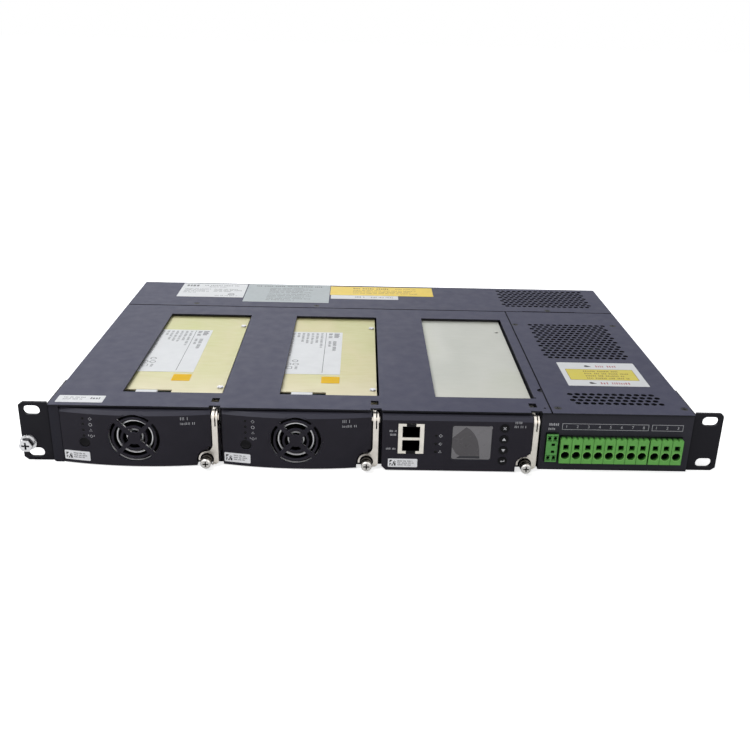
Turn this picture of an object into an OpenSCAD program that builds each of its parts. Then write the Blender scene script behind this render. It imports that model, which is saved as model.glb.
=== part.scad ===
// Rack power shelf, one rack unit high, for a 19 inch rack.
// A folded sheet tray carries two plug-in rectifier modules, one plug-in controller
// and a fixed terminal panel.
// Frame: X to the right, Y to the back, Z up. Y = 0 is the back face of the ears, which
// lies against the rack's rails. X = 0 is the middle of the rack, Z = 0 the underside.

/* [Shelf] */
// Width of the folded body between the ears
body_w = 440; // [434:0.5:446]
// Depth of the body behind the ears' back face
body_d = 291; // [260:1:340]
// Height over everything
body_h = 43.6; // [43:0.1:44.4]
// Thickness of the tray's sheet and of the covers
sheet_t = 1.2; // [1:0.1:1.4]
// Outer bend radius of the tray's folds
bend_r = 2; // [1.6:0.1:2.6]
// How far the fixed front panel stands in front of the ears' back face
panel_out = 4.5; // [3.5:0.1:5]
// How far the covers reach forward of the fixed panel's face
cover_lip = 1; // [0.4:0.1:1.5]
// Place of the seam between the front covers and the rear cover
seam_y = 218; // [216:0.5:224]
// Place of the seam between the front cover and the right cover
seam_x = 121.9; // [120:0.1:124]
// Width of the seams between covers
seam_gap = 0.5; // [0.3:0.1:0.8]

/* [Ears] */
// Width over both ears, the 19 inch panel width
rack_w = 482.6; // [482:0.1:483.2]
// Thickness of the ears' sheet
ear_t = 2; // [1.6:0.1:2.4]
// Depth of the ears' side flanges
ear_flange_d = 45; // [40:1:60]
// Distance between the rows of slots, side to side
slot_pitch_x = 465; // [464.5:0.1:465.5]
// Distance between the slots, one above the other
slot_pitch_z = 31.75; // [31.5:0.05:32]
// Length of a slot
slot_l = 11.3; // [10.5:0.1:12]
// Width of a slot
slot_w = 6.8; // [6.6:0.1:7]
// Bevel of the ears' outer corners
ear_bevel = 3; // [1:0.5:4]

/* [Bays] */
// Clear width of one bay
bay_w = 108.6; // [107.6:0.1:109]
// Thickness of a divider between bays
divider_t = 1; // [0.8:0.1:1.2]
// Left edge of the first bay
bay_x0 = -213.2; // [-213.4:0.1:-213]
// Depth of a module's case
case_d = 203.8; // [196:0.2:204.4]
// Thickness of the sheet of a module's case
case_t = 1; // [0.8:0.1:1.1]
// How far a module's case stands off the shelf's underside
case_z = 2.7; // [2.6:0.1:3]
// Height of a module's top plate above the shelf's underside
case_top = 41; // [40.6:0.1:41.1]

/* [Windows] */
// Width of a window over a bay
window_w = 70; // [60:0.5:72]
// Length of a window over a bay
window_d = 174.5; // [150:0.5:180]
// Front edge of the windows
window_y = 19; // [17:0.5:24]
// Distance from the bay's right edge to the window's right edge
window_in = 0.8; // [0.4:0.1:3]

/* [Perforation] */
// Diameter of a vent hole in the covers
vent_d = 4.1; // [3:0.1:4.4]
// Distance between vent holes along a row
vent_pitch_x = 5.33; // [5.2:0.01:6]
// Distance between rows of vent holes
vent_pitch_y = 5.3; // [5.2:0.01:6]

/* [Bezels] */
// Height of a bezel's lower edge
bezel_z = 0.8; // [0.6:0.1:1.2]
// Radius of the rectifier bezel's bow, seen from above
bow_r = 254; // [220:1:320]
// How far the bow's crown stands in front of the ears' back face
bow_out = 11; // [9:0.1:12]
// How far the controller's flat face stands in front of the ears' back face
flat_out = 10.5; // [9.5:0.1:12]
// Wall of a bezel's face
bezel_wall = 2; // [1.6:0.1:2.4]
// Wall of a bezel's sides
bezel_side = 1.2; // [1:0.1:1.6]
// Height of the bevel along a bezel's top edge
bezel_bevel = 2.4; // [1.5:0.1:2.6]

/* [Fan] */
// Distance from the bay's left edge to the fan's axis
fan_in = 51; // [46:0.5:56]
// Height of the fan's axis
fan_z = 21.8; // [21.6:0.1:21.9]
// Radius of the fan opening in the bezel
grille_r = 18.5; // [17.5:0.1:18.6]
// Width of a spoke of the moulded grille
spoke_w = 2.6; // [1.6:0.1:3.2]
// Width of a ring of the moulded grille
ring_w = 1.4; // [1:0.1:1.8]
// Radius of the wire in the finger guard
wire_r = 0.6; // [0.45:0.05:0.65]
// Width and height of the fan's frame
fan_w = 36; // [35:0.1:36.1]
// Depth of the fan's frame
fan_d = 28; // [20:0.5:28]
// Number of fan blades
blades = 7; // [5:1:9]
// Gap between the blade tips and the duct
tip_gap = 0.6; // [0.4:0.1:1]

/* [Lever] */
// Width of an ejector lever
lever_w = 3.7; // [3.4:0.1:3.8]
// Thickness of the lever's sheet
lever_t = 1; // [0.8:0.05:1.1]
// Distance from the bay's right edge to the lever's right face
lever_in = 1.3; // [1.2:0.1:1.5]
// How far the lever's face stands in front of the ears' back face
lever_out = 8; // [7.5:0.1:8.5]
// Height of the lever's pivot
pivot_z = 35.5; // [34.5:0.1:35.6]
// Radius of the lever's eye round its pivot
eye_r = 5.2; // [4.5:0.1:5.3]
// Radius of the pivot pin
pin_r = 1.5; // [1.2:0.05:1.8]
// Running clearance of a pin in its eye
pin_gap = 0.05; // [0.02:0.01:0.09]

/* [Captive screw] */
// Distance from the lever's left face to the screw's axis
screw_in = 4.2; // [4:0.1:4.6]
// Height of the screw's axis
screw_z = 5.6; // [5.4:0.1:6.2]
// Radius of the screw's head
head_r = 4.1; // [3.6:0.1:4.3]
// Radius of the screw's barrel in the lever's hook
barrel_r = 4.4; // [4:0.1:4.5]
// Outer radius of the lever's hook round the screw
hook_r = 5.9; // [5.7:0.1:6.1]
// How far the screw can be pushed in
screw_travel = 5; // [3:0.5:5]

/* [Controller] */
// Radius of a key
key_r = 3; // [2.4:0.1:3.2]
// Distance between keys
key_pitch = 8.25; // [8:0.05:8.4]
// Width of the display
display_w = 27.4; // [24:0.1:29]
// Height of the display
display_h = 25.7; // [20:0.1:27]
// Width of the stacked network jack
jack_w = 17.6; // [16.5:0.1:18.5]
// Height of the stacked network jack
jack_h = 22.4; // [21:0.1:23.5]

/* [Terminals] */
// Distance between ways of the large terminal blocks
way_pitch = 7.62; // [7:0.01:7.7]
// Ways of the load block
load_ways = 8; // [4:1:8]
// Ways of the input block
input_ways = 3; // [2:1:3]
// Height of the large terminal blocks
block_h = 18.2; // [16:0.1:20]
// How far the terminal blocks stand in front of the panel's face
block_out = 4.5; // [2:0.1:6]
// Radius of a conductor entry
entry_r = 3; // [2.95:0.05:3.2]

/* [Clearances] */
// Clearance between pieces that slide past each other
slide_gap = 0.3; // [0.2:0.05:0.35]
// Clearance round a screw or pin that is fixed in its hole
fit_gap = 0.1; // [0.05:0.01:0.15]

/* [Hidden] */
$fn = 48;
eps = 0.01;

// Heights
cover_z = body_h - sheet_t;
flange_z = cover_z - sheet_t;
floor_z = sheet_t;
mid_z = body_h / 2;

// Fronts
panel_y = -panel_out;
cover_y = panel_y - cover_lip;
tray_y = -0.5;
module_y = tray_y - slide_gap;
case_end = module_y + case_d;

// Bays
bay_pitch = bay_w + divider_t;
function bay_x(n) = bay_x0 + n * bay_pitch;
bays_end = bay_x(3);
half_w = body_w / 2;
rail_w = 12;
web_y = case_end + 9;
board_t = 1.6;
web_back = web_y + sheet_t;

// A module, measured from its bay's left edge
lever_right = bay_w - lever_in;
lever_left = lever_right - lever_w;
face_right = lever_left - 1;
case_left = 0.8;
case_right = bay_w - 2.3;
pivot_y = -lever_out + eye_r - 0.15;
screw_x = lever_left - screw_in;
hook_in_r = barrel_r + slide_gap;
notch_r = hook_r + 1;
recess_y = -3;
web_top = pivot_z - eye_r - 2;
lever_notch_y = 12;
tooth_top = cover_z - slide_gap;
tooth_y = 5.6;
tooth_w = 1.8;
fan_front = -6;
fan_x = fan_in;
rib_h = case_z - slide_gap - floor_z;

// Plug and socket
plug_x = 72;
plug_z = 20;
plug_w = 26.4;
plug_h = 10.4;
socket_wall = 1.5;
socket_d = 8;
socket_y = web_back - 9;
plug_end = socket_y + socket_d - 1;
boss_h = 4.3;
board_z = case_z + case_t + boss_h;

// Terminal compartment
dist_z = 5.6;
dist_top = dist_z + board_t;
block_y = panel_y - block_out;
load_x = 129;
input_x = load_x + load_ways * way_pitch + 1;
entry_z = dist_top + 6.1;
port_z = dist_top + 12.4;
block_d = 20;

// ---------------------------------------------------------------- helpers

// A box from its low corner to its high corner
module block(low, high) {
  translate(low) cube(high - low);
}

// A flat rectangle from its low corner to its high corner
module area(low, high) {
  translate(low) square(high - low);
}

// A rectangle with round corners, exact arcs
module round_area(low, high, r) {
  size = high - low;
  area([low.x + r, low.y], [high.x - r, high.y]);
  area([low.x, low.y + r], [high.x, high.y - r]);
  for (x = [low.x + r, high.x - r], y = [low.y + r, high.y - r])
    translate([x, y]) circle(r);
}

// A round-ended slot, lying along X
module slot_area(l, w) {
  square([l - w, w], center = true);
  for (side = [-1, 1]) translate([side * (l - w) / 2, 0]) circle(w / 2);
}

// A plate drawn in the XZ plane, from y0 back to y1
module plate_xz(y0, y1) {
  translate([0, y1, 0]) rotate([90, 0, 0]) linear_extrude(y1 - y0) children();
}

// A plate drawn in the YZ plane, from x0 to x1
module plate_yz(x0, x1) {
  translate([x0, 0, 0]) rotate([90, 0, 90]) linear_extrude(x1 - x0) children();
}

// A plate drawn in the XY plane, from z0 to z1
module plate_xy(z0, z1) {
  translate([0, 0, z0]) linear_extrude(z1 - z0) children();
}

// A round bar along Y
module bar_y(x, z, r, y0, y1) {
  translate([x, y1, z]) rotate([90, 0, 0]) cylinder(r = r, h = y1 - y0);
}

// A round bar along X
module bar_x(y, z, r, x0, x1) {
  translate([x0, y, z]) rotate([0, 90, 0]) cylinder(r = r, h = x1 - x0);
}

// Two crossed slots that make a screw's cross recess, cut along Y from a face at y
module cross_recess(x, z, y, w, l, depth) {
  for (turn = [0, 90])
    translate([x, y, z]) rotate([0, turn, 0])
      translate([-l / 2, -eps, -w / 2]) cube([l, depth + eps, w]);
}

// ---------------------------------------------------------------- shelf

// The two sides and the bottom of the tray with their inward flanges, as one folded section
module tray_section() {
  difference() {
    round_area([-half_w, 0], [half_w, cover_z], bend_r);
    round_area([-half_w + sheet_t, sheet_t], [half_w - sheet_t, flange_z], bend_r - sheet_t);
    area([bay_x0 - 0.4, mid_z], [half_w - rail_w, cover_z + 1]);
  }
}

// Raised beads that the modules slide on
bead_w = 5;
module floor_beads(h, extra) {
  for (n = [0:2], x = [25, 80])
    block([bay_x(n) + x - bead_w / 2 + extra, 8 + extra, -extra],
          [bay_x(n) + x + bead_w / 2 - extra, web_y - 12 - extra, floor_z + h - extra]);
}

// Outlet slots in the back wall, behind the rectifiers
vent_slot_w = 3.6;
vent_slot_h = 28;
module back_slots() {
  for (n = [0:1], i = [0:10])
    translate([bay_x(n) + bay_w / 2 + (i - 5) * 8, mid_z]) rotate(90) slot_area(vent_slot_h, vent_slot_w);
}

// Places of the distribution board's bosses
dist_holes = [for (x = [bays_end + 14, half_w - 12], y = [22, 100, 190]) [x, y]];

module chassis_tray() {
  color("#2e2c35") difference() {
    union() {
      plate_xz(panel_y, body_d - bend_r) tray_section();
      // left front flange
      plate_xz(panel_y, panel_y + sheet_t)
        area([-half_w + sheet_t, sheet_t], [bay_x0, cover_z - sheet_t]);
      // back wall with its top flange
      plate_xz(body_d - sheet_t, body_d) difference() {
        round_area([-half_w, 0], [half_w, cover_z], bend_r);
        back_slots();
      }
      block([-half_w, body_d - bend_r - eps, 0], [half_w, body_d - sheet_t, sheet_t]);
      block([-half_w + sheet_t, body_d - rail_w, flange_z], [half_w - sheet_t, body_d - sheet_t, cover_z]);
      for (side = [-1, 1])
        block([side > 0 ? half_w - sheet_t : -half_w, body_d - bend_r - eps, 0],
              [side > 0 ? half_w : -half_w + sheet_t, body_d - sheet_t, cover_z]);
      floor_beads(rib_h, 0);
      for (p = dist_holes)
        translate([p.x, p.y, 0]) cylinder(r = 3.2, h = dist_z);
    }
    // hollow under each bead
    floor_beads(rib_h, sheet_t);
    // the floor's front edge stands back across the bays, and the right side makes room for the panel
    block([bay_x0, panel_y - 1, -1], [bays_end, tray_y, cover_z + 1]);
    block([bays_end - eps, panel_y - 1, -1], [half_w + 1, panel_y + sheet_t, cover_z + 1]);
    for (p = dist_holes)
      translate([p.x, p.y, -1]) cylinder(r = 1.3, h = dist_z + 2);
    ear_holes(1.9);
    for (p = right_screws) translate([p.x, p.y, flange_z - 1]) cylinder(r = cover_screw_r + fit_gap, h = 4);
  }
}

// Folded dividers: a wall with a foot and a top flange, both turned to the right
foot_w = 9;
module divider_section(x, top_w) {
  difference() {
    round_area([x - divider_t, floor_z], [x + top_w, cover_z], divider_t);
    area([x, floor_z + divider_t], [x + top_w + 1, cover_z - divider_t]);
    area([x + foot_w, floor_z - 1], [x + top_w + 1, mid_z]);
  }
}

module bay_dividers() {
  color("#34323b") difference() {
    for (n = [1:3])
      plate_xz(0, web_y - 0.2)
        divider_section(bay_x(n), n == 3 ? 15 : foot_w);
    for (p = right_screws) translate([p.x, p.y, flange_z - 1]) cylinder(r = cover_screw_r + fit_gap, h = 4);
    // room for the feet of the terminal panel
    block([bays_end, -1, 0], [bays_end + 20, 13, 5]);
  }
}

// Crossbar: carries the backplane and the rear edge of the front covers
crossbar_d = 20;
module crossbar() {
  color("#34323b") difference() {
    union() {
      block([-half_w + bend_r, web_y, floor_z], [bays_end + 14, web_back, flange_z]);
      block([bay_x0 - 0.2, web_y, flange_z - eps], [half_w - rail_w - 0.2, web_y + crossbar_d, cover_z]);
    }
    for (n = [0:2])
      block([bay_x(n) + plug_x - plug_w / 2 - 3, web_y - 1, plug_z - plug_h / 2 - 3],
            [bay_x(n) + plug_x + plug_w / 2 + 3, web_back + 1, plug_z + plug_h / 2 + 3]);
    // air passes beside each socket
    for (n = [0:2], i = [0:5])
      translate([bay_x(n) + 10 + i * 8, 0, mid_z]) rotate([90, 0, 0])
        translate([0, 0, -web_back - 1]) linear_extrude(sheet_t + 2) rotate(90) slot_area(vent_slot_h, vent_slot_w);
    for (p = rear_screws) translate([p.x, p.y, flange_z - 1]) cylinder(r = cover_screw_r + fit_gap, h = 4);
  }
}

// Covers ------------------------------------------------------

// Places of the cover screws
right_screws = [[seam_x + 3.5, seam_y - 36.5], [half_w - 8.5, seam_y - 35.6],
                [seam_x + 5.4, 3.3], [half_w - 4.1, 5.3]];
rear_screws = [[-159.4, seam_y + 7], [-50.1, seam_y + 6.4], [161.6, seam_y + 4.6]];
cover_screw_r = 1.4;
cover_head_r = 2.8;

// Staggered field of vent holes between two corners
module vent_field(low, high) {
  rows = floor((high.y - low.y) / vent_pitch_y);
  for (row = [0:rows]) {
    shift = row % 2 == 0 ? 0 : vent_pitch_x / 2;
    columns = floor((high.x - low.x - shift) / vent_pitch_x + eps);
    for (column = [0:columns])
      translate([low.x + shift + column * vent_pitch_x, high.y - row * vent_pitch_y])
        circle(d = vent_d);
  }
}

// A countersunk hole for a cover screw
module cover_sink(p) {
  translate([p.x, p.y, cover_z - 1]) cylinder(r = cover_screw_r + fit_gap, h = sheet_t + 2);
  translate([p.x, p.y, cover_z]) cylinder(r1 = cover_screw_r + fit_gap, r2 = cover_head_r + fit_gap, h = sheet_t + eps);
}

// Latch hole, lip notch: both sit over the lever of each bay
latch_w = 5.3;
latch_d = 6.7;
latch_y = 3.5;
lip_notch_w = 7.7;
lip_notch_d = 3;
pry_r = 3.3;
module front_cover() {
  color("#33313a") plate_xy(cover_z, body_h) difference() {
    area([-half_w, cover_y], [seam_x - seam_gap / 2, seam_y - seam_gap / 2]);
    for (n = [0:2]) {
      right = bay_x(n) + bay_w - window_in;
      round_area([right - window_w, window_y], [right, window_y + window_d], 0.8);
      lever_mid = bay_x(n) + lever_left + tooth_w / 2;
      area([lever_mid - latch_w / 2, latch_y], [lever_mid + latch_w / 2, latch_y + latch_d]);
      area([lever_mid + 0.9 - lip_notch_w / 2, cover_y - 1], [lever_mid + 0.9 + lip_notch_w / 2, cover_y + lip_notch_d]);
    }
    translate([seam_x - seam_gap / 2, 33.8]) circle(pry_r);
    translate([seam_x - 3.7, 2.6]) circle(0.9, $fn = 12);
    translate([seam_x - 7.5, 20]) circle(0.9, $fn = 12);
  }
}

module rear_cover() {
  color("#33313a") difference() {
    plate_xy(cover_z, body_h) difference() {
      area([-half_w, seam_y + seam_gap / 2], [half_w, body_d]);
      area([138, seam_y - 1], [186, seam_y + 1.6]);
      area([-9, seam_y - 1], [20, seam_y + 1]);
      vent_field([seam_x + 2, seam_y + 12], [half_w - 14.3, body_d - 8.5]);
    }
    for (p = rear_screws) cover_sink(p);
  }
}

module right_cover() {
  color("#33313a") difference() {
    plate_xy(cover_z, body_h) difference() {
      area([seam_x + seam_gap / 2, cover_y], [half_w, seam_y - seam_gap / 2]);
      vent_field([seam_x + 16.5, 99], [half_w - 17, seam_y - 36.5]);
      vent_field([seam_x + 18.9, 11], [half_w - 17, 28.2]);
    }
    for (p = right_screws) cover_sink(p);
  }
}

// A countersunk cover screw
module cover_screw(p) {
  difference() {
    union() {
      translate([p.x, p.y, cover_z]) cylinder(r1 = cover_screw_r, r2 = cover_head_r - 0.15, h = sheet_t - 0.1);
      translate([p.x, p.y, flange_z - 3]) cylinder(r = cover_screw_r, h = 3 + sheet_t);
    }
    for (turn = [0, 90])
      translate([p.x, p.y, body_h - 0.8]) rotate(turn) translate([-1.7, -0.3, 0]) cube([3.4, 0.6, 2]);
  }
}

module cover_screws() {
  color("#55535c") for (p = concat(right_screws, rear_screws)) cover_screw(p);
}

// Ears --------------------------------------------------------

ear_screw_places = [for (y = [14, 35], z = [10.5, 33]) [y, z]];
ear_head_r = 3.4;

// Holes through the tray's side and the ear's side flange
module ear_holes(r) {
  for (p = ear_screw_places, side = [-1, 1])
    bar_x(p.x, p.y, r, side > 0 ? half_w - 8 : -half_w - 8, side > 0 ? half_w + 8 : -half_w + 8);
}

// The ground screw sits beside the lower left slot
ground_x = -(slot_pitch_x / 2 + 4.7);
ground_z = mid_z - slot_pitch_z / 2 + 7.5;
ground_r = 2.4;

// One ear, drawn for the right side: a bent bracket with two slots
module ear(top_round) {
  out = rack_w / 2;
  difference() {
    union() {
      // front flange
      plate_xz(-ear_t, 0) difference() {
        area([half_w + ear_t, 0], [out, body_h]);
        for (end = [-1, 1])
          translate([slot_pitch_x / 2, mid_z + end * slot_pitch_z / 2]) slot_area(slot_l, slot_w);
        polygon([[out - ear_bevel, -eps], [out + 1, -eps], [out + 1, ear_bevel]]);
        if (top_round)
          difference() {
            area([out - ear_bevel, body_h - ear_bevel], [out + 1, body_h + 1]);
            translate([out - ear_bevel, body_h - ear_bevel]) circle(ear_bevel);
          }
        else
          polygon([[out - ear_bevel, body_h + eps], [out + 1, body_h + eps], [out + 1, body_h - ear_bevel]]);
      }
      // side flange
      plate_yz(half_w, half_w + ear_t)
        polygon([[0, 0], [ear_flange_d - 4, 0], [ear_flange_d, 4], [ear_flange_d, body_h - 5.2],
                 [ear_flange_d - 4, body_h - 1.2], [0, body_h - 1.2]]);
      // the bend
      plate_xy(0, body_h - 1.2) intersection() {
        translate([half_w + ear_t, 0]) circle(ear_t);
        area([half_w, -ear_t], [half_w + ear_t, 0]);
      }
    }
    for (p = ear_screw_places) {
      bar_x(p.x, p.y, 2.1, half_w - 1, half_w + ear_t + 1);
      translate([half_w + ear_t, p.x, p.y]) rotate([0, -90, 0])
        translate([0, 0, -eps]) cylinder(r1 = ear_head_r + fit_gap, r2 = 2.1, h = 1.5);
    }
  }
}

module left_ear() {
  color("#3a3841") difference() {
    mirror([1, 0, 0]) ear(false);
    bar_y(ground_x, ground_z, ground_r + fit_gap, -ear_t - 1, 1);
  }
}

module right_ear() {
  color("#3a3841") ear(true);
}

module ear_screws() {
  color("#8a8a90") for (p = ear_screw_places, side = [0, 1])
    mirror([side, 0, 0]) {
      bar_x(p.x, p.y, 1.8, half_w - 5, half_w + 1);
      translate([half_w + ear_t, p.x, p.y]) rotate([0, -90, 0]) difference() {
        cylinder(r1 = ear_head_r, r2 = 1.8, h = 1.5);
        translate([0, 0, -eps]) cylinder(r = 1.4, h = 0.8, $fn = 6);
      }
    }
}

// Chassis ground screw: hexagon head with a cross recess
washer_t = 1;
spring_t = 1.4;
module ground_screw() {
  top = -ear_t - washer_t - spring_t - 0.05;
  color("#c9c6bd") difference() {
    union() {
      translate([ground_x, top, ground_z]) rotate([90, 0, 0]) cylinder(r = 4.7, h = 4.2, $fn = 6);
      bar_y(ground_x, ground_z, ground_r, top - eps, 9);
    }
    cross_recess(ground_x, ground_z, top - 4.2, 1.3, 5.4, 2.2);
    bar_y(ground_x, ground_z, 0.9, top - 4.3, top - 1.5);
  }
}

module ground_washers() {
  color("#c9c6bd") {
    difference() {
      bar_y(ground_x, ground_z, 5.8, -ear_t - washer_t, -ear_t);
      bar_y(ground_x, ground_z, ground_r + 0.2, -ear_t - washer_t - 1, 1);
    }
    // split spring washer
    difference() {
      bar_y(ground_x, ground_z, 4.4, -ear_t - washer_t - spring_t, -ear_t - washer_t - 0.05);
      bar_y(ground_x, ground_z, ground_r + 0.2, -ear_t - washer_t - spring_t - 1, 1);
      translate([ground_x + 3.4, -ear_t - washer_t - spring_t / 2, ground_z]) rotate([0, 0, 25])
        cube([4, 0.5, 3], center = true);
    }
  }
}

// Backplane ---------------------------------------------------

module backplane_board() {
  color("#1d5a34") difference() {
    block([bay_x(0) + 8, web_back, 4], [bays_end - 6, web_back + board_t, 38]);
    for (n = [0:2], i = [0:4])
      translate([bay_x(n) + 10 + i * 8, 0, mid_z]) rotate([90, 0, 0])
        translate([0, 0, -web_back - board_t - 1]) linear_extrude(board_t + 2)
          rotate(90) slot_area(vent_slot_h - 4, vent_slot_w);
  }
}

// A socket that takes a module's plug
module socket(n) {
  x = bay_x(n) + plug_x;
  w = plug_w / 2 + slide_gap;
  h = plug_h / 2 + slide_gap;
  difference() {
    block([x - w - socket_wall, socket_y, plug_z - h - socket_wall],
          [x + w + socket_wall, web_back, plug_z + h + socket_wall]);
    block([x - w, socket_y - 1, plug_z - h], [x + w, socket_y + socket_d, plug_z + h]);
  }
}

module backplane_sockets() {
  color("#d8d2bd") for (n = [0:2]) socket(n);
}

// Two bars from the backplane to the distribution board
bar_t = 2;
bar_h = 14;
module busbar(y, z, x_end, y_end) {
  difference() {
    union() {
      block([bay_x(0) + 30, y, z], [x_end, y + bar_t, z + bar_h]);
      block([x_end - bar_t, y_end, z], [x_end, y + bar_t, z + bar_h]);
      block([x_end - bar_t, y_end, dist_top], [x_end, y_end + 16, z + eps]);
      for (n = [0:2])
        block([bay_x(n) + 60, web_back + board_t, z], [bay_x(n) + 72, y + eps, z + bar_h]);
    }
    for (n = [0:2])
      bar_y(bay_x(n) + 40, z + bar_h / 2, 2.6, y - 1, y + bar_t + 1);
  }
}

module busbars() {
  color("#b8763f") {
    busbar(web_back + 18, 9, 166, 182);
    busbar(web_back + 26, 25, 190, 182);
  }
}

// Terminal compartment ----------------------------------------

module distribution_board() {
  top = dist_top;
  color("#1d5a34") difference() {
    union() {
      block([bays_end + 3, panel_y + sheet_t + 1, dist_z], [half_w - 6, 199, top]);
      // relays, fuse holders and a shunt
      for (i = [0:2]) block([bays_end + 20 + i * 24, 46, top - eps], [bays_end + 39 + i * 24, 74, top + 17]);
      for (i = [0:3]) block([bays_end + 22 + i * 18, 88, top - eps], [bays_end + 30 + i * 18, 112, top + 12]);
      for (i = [0:1]) translate([bays_end + 30 + i * 40, 150, top - eps]) cylinder(r = 8, h = 26);
    }
    for (p = dist_holes) translate([p.x, p.y, dist_z - 1]) cylinder(r = 1.6, h = 5);
  }
}

// Windows in the panel follow the blocks with this clearance
panel_gap = 0.4;
module terminal_panel() {
  foot = 12;
  color("#2e2c35") difference() {
    union() {
      plate_xz(panel_y, panel_y + sheet_t)
        area([bays_end, 0], [half_w, cover_z - 0.2]);
      block([bays_end + 0.4, panel_y + sheet_t - eps, floor_z], [half_w - bend_r, foot, floor_z + sheet_t]);
      block([half_w - 2 * sheet_t - 0.2, panel_y + sheet_t - eps, bend_r],
            [half_w - sheet_t - 0.2, foot, flange_z - 0.4]);
    }
    block([load_x - panel_gap, panel_y - 1, dist_top - panel_gap],
          [input_x + input_ways * way_pitch + panel_gap, panel_y + sheet_t + 1,
           dist_top + block_h + 0.8 + panel_gap]);
    block([signal_x - panel_gap, panel_y - 1, dist_top - panel_gap],
          [signal_x + signal_w + panel_gap, panel_y + sheet_t + 1, dist_top + signal_h + panel_gap]);
  }
}

// A screwless terminal block with one entry and one release port a way
module terminal_block(x0, ways) {
  top = dist_top + block_h;
  color("#3fa535") difference() {
    union() {
      block([x0, block_y, dist_top], [x0 + ways * way_pitch, block_y + block_d, top]);
      // ridges along the top edge, two a way
      for (i = [0 : 2 * ways - 1])
        block([x0 + (i + 0.2) * way_pitch / 2, block_y, top - eps],
              [x0 + (i + 0.8) * way_pitch / 2, block_y + 3.4, top + 0.8]);
    }
    for (i = [0:ways - 1]) {
      x = x0 + (i + 0.5) * way_pitch;
      bar_y(x, entry_z, entry_r, block_y - 1, block_y + 12);
      block([x - 1.9, block_y - 1, port_z - 1.9], [x + 1.9, block_y + 6, port_z + 1.9]);
      // parting groove between ways
      if (i > 0)
        block([x0 + i * way_pitch - 0.2, block_y - 1, dist_top - 1], [x0 + i * way_pitch + 0.2, block_y + 0.6, top + 1]);
    }
  }
}

module load_terminals() { terminal_block(load_x, load_ways); }
module input_terminals() { terminal_block(input_x, input_ways); }

// Small two-column connector for battery temperature and signals
signal_x = 119.5;
signal_w = 7.9;
signal_h = 21;
module signal_connector() {
  y0 = panel_y - 2.6;
  mid = signal_x + signal_w / 2;
  color("#3fa535") difference() {
    block([signal_x, y0, dist_top], [signal_x + signal_w, y0 + 18, dist_top + signal_h]);
    for (side = [-1, 1], z = [3.1, 17.9]) {
      bar_y(mid + side * 1.95, dist_top + z, 1.2, y0 - 1, y0 + 7);
      for (tick = [-1, 1])
        block([mid + side * 1.95 - 1.5, y0 - 1, dist_top + z + tick * 1.6 - 0.5],
              [mid + side * 1.95 + 1.5, y0 + 0.6, dist_top + z + tick * 1.6 + 0.5]);
    }
    for (z = [7.8, 13.2])
      block([mid - 0.3, y0 - 1, dist_top + z - 1], [mid + 2.1, y0 + 5, dist_top + z + 1]);
  }
}

// ---------------------------------------------------------------- modules

// The case's outline seen from above: a box with a notch for the lever's arm
module case_outline(inset) {
  difference() {
    area([case_left + inset, module_y + inset], [case_right - inset, case_end - inset]);
    area([face_right - inset, module_y - 1], [case_right + 1, lever_notch_y + inset]);
  }
}

// Folded module case, open at the front and the top
module module_case() {
  color("#b9b9bd") difference() {
    union() {
      plate_xy(case_z, case_top - case_t) case_outline(0);
    }
    difference() {
      plate_xy(case_z + case_t, case_top) case_outline(case_t);
      // bosses that carry the board
      for (x = [8, case_right - 8], y = [40, 185])
        translate([x, y, case_z]) cylinder(r = 2.6, h = case_t + boss_h);
    }
    // open front
    block([case_left + case_t, module_y - 1, case_z + case_t], [face_right - case_t, module_y + case_t + 1, case_top]);
    // opening for the plug
    block([plug_x - plug_w / 2 - 0.2, case_end - case_t - 1, plug_z - plug_h / 2 - 0.2],
          [plug_x + plug_w / 2 + 0.2, case_end + 1, plug_z + plug_h / 2 + 0.2]);
    // outlet slots
    for (i = [0:5])
      translate([10 + i * 8, case_end, mid_z]) rotate([90, 0, 0])
        translate([0, 0, -1]) linear_extrude(case_t + 2) rotate(90) slot_area(vent_slot_h, vent_slot_w);
  }
}

// Chromated top plate, with a gap at its left front for the fan's lead
lead_gap_y = 22.5;
lead_gap_x = 70;
module top_plate(lead_gap) {
  color("#c9bf7a") plate_xy(case_top - case_t, case_top) difference() {
    case_outline(0);
    if (lead_gap) area([12, module_y - 1], [lead_gap_x, lead_gap_y]);
    for (p = [[case_right - 4, 24], [case_right - 5, 166], [8, 60], [8, 166]])
      translate(p) circle(1.5);
  }
}

// Area of the grille's openings, seen from the front
module grille_openings() {
  difference() {
    circle(grille_r);
    circle(4.3);
    for (r = [8.4, 14.6])
      difference() {
        circle(r + ring_w / 2);
        circle(r - ring_w / 2);
      }
    for (turn = [45, 135]) rotate(turn) square([spoke_w, 3 * grille_r], center = true);
  }
}

// Part of a bezel behind the lever: a low web with the captive screw's nut boss
module lever_web() {
  difference() {
    block([notch_left() - notch_wall - 0.5, recess_y, case_z + 0.1], [bay_w - 0.6, module_y, web_top]);
    bar_y(screw_x, screw_z, 1.8, recess_y - 1, module_y + 1);
  }
}
notch_wall = 1.2;
function notch_left() = screw_x - notch_r;

// Corner cut from a bezel round the captive screw and the lever's hook
module corner_notch() {
  bar_y(screw_x, screw_z, notch_r, -20, recess_y);
  block([screw_x + 0.8, -20, bezel_z - 1], [bay_w, recess_y, screw_z + notch_r + 2]);
  block([notch_left(), -20, bezel_z - 1], [bay_w, recess_y, screw_z]);
}

// Bearing boss for the lever's pin, inside the bezel's right end
module pin_boss() {
  intersection() {
    bar_x(pivot_y, pivot_z, pin_r + 1.6, face_right - 4.6, face_right);
    block([0, -20, 0], [bay_w, module_y, case_top]);
  }
}
module pin_bore() {
  bar_x(pivot_y, pivot_z, pin_r + fit_gap, face_right - 4.1, face_right + 1);
}

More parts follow.
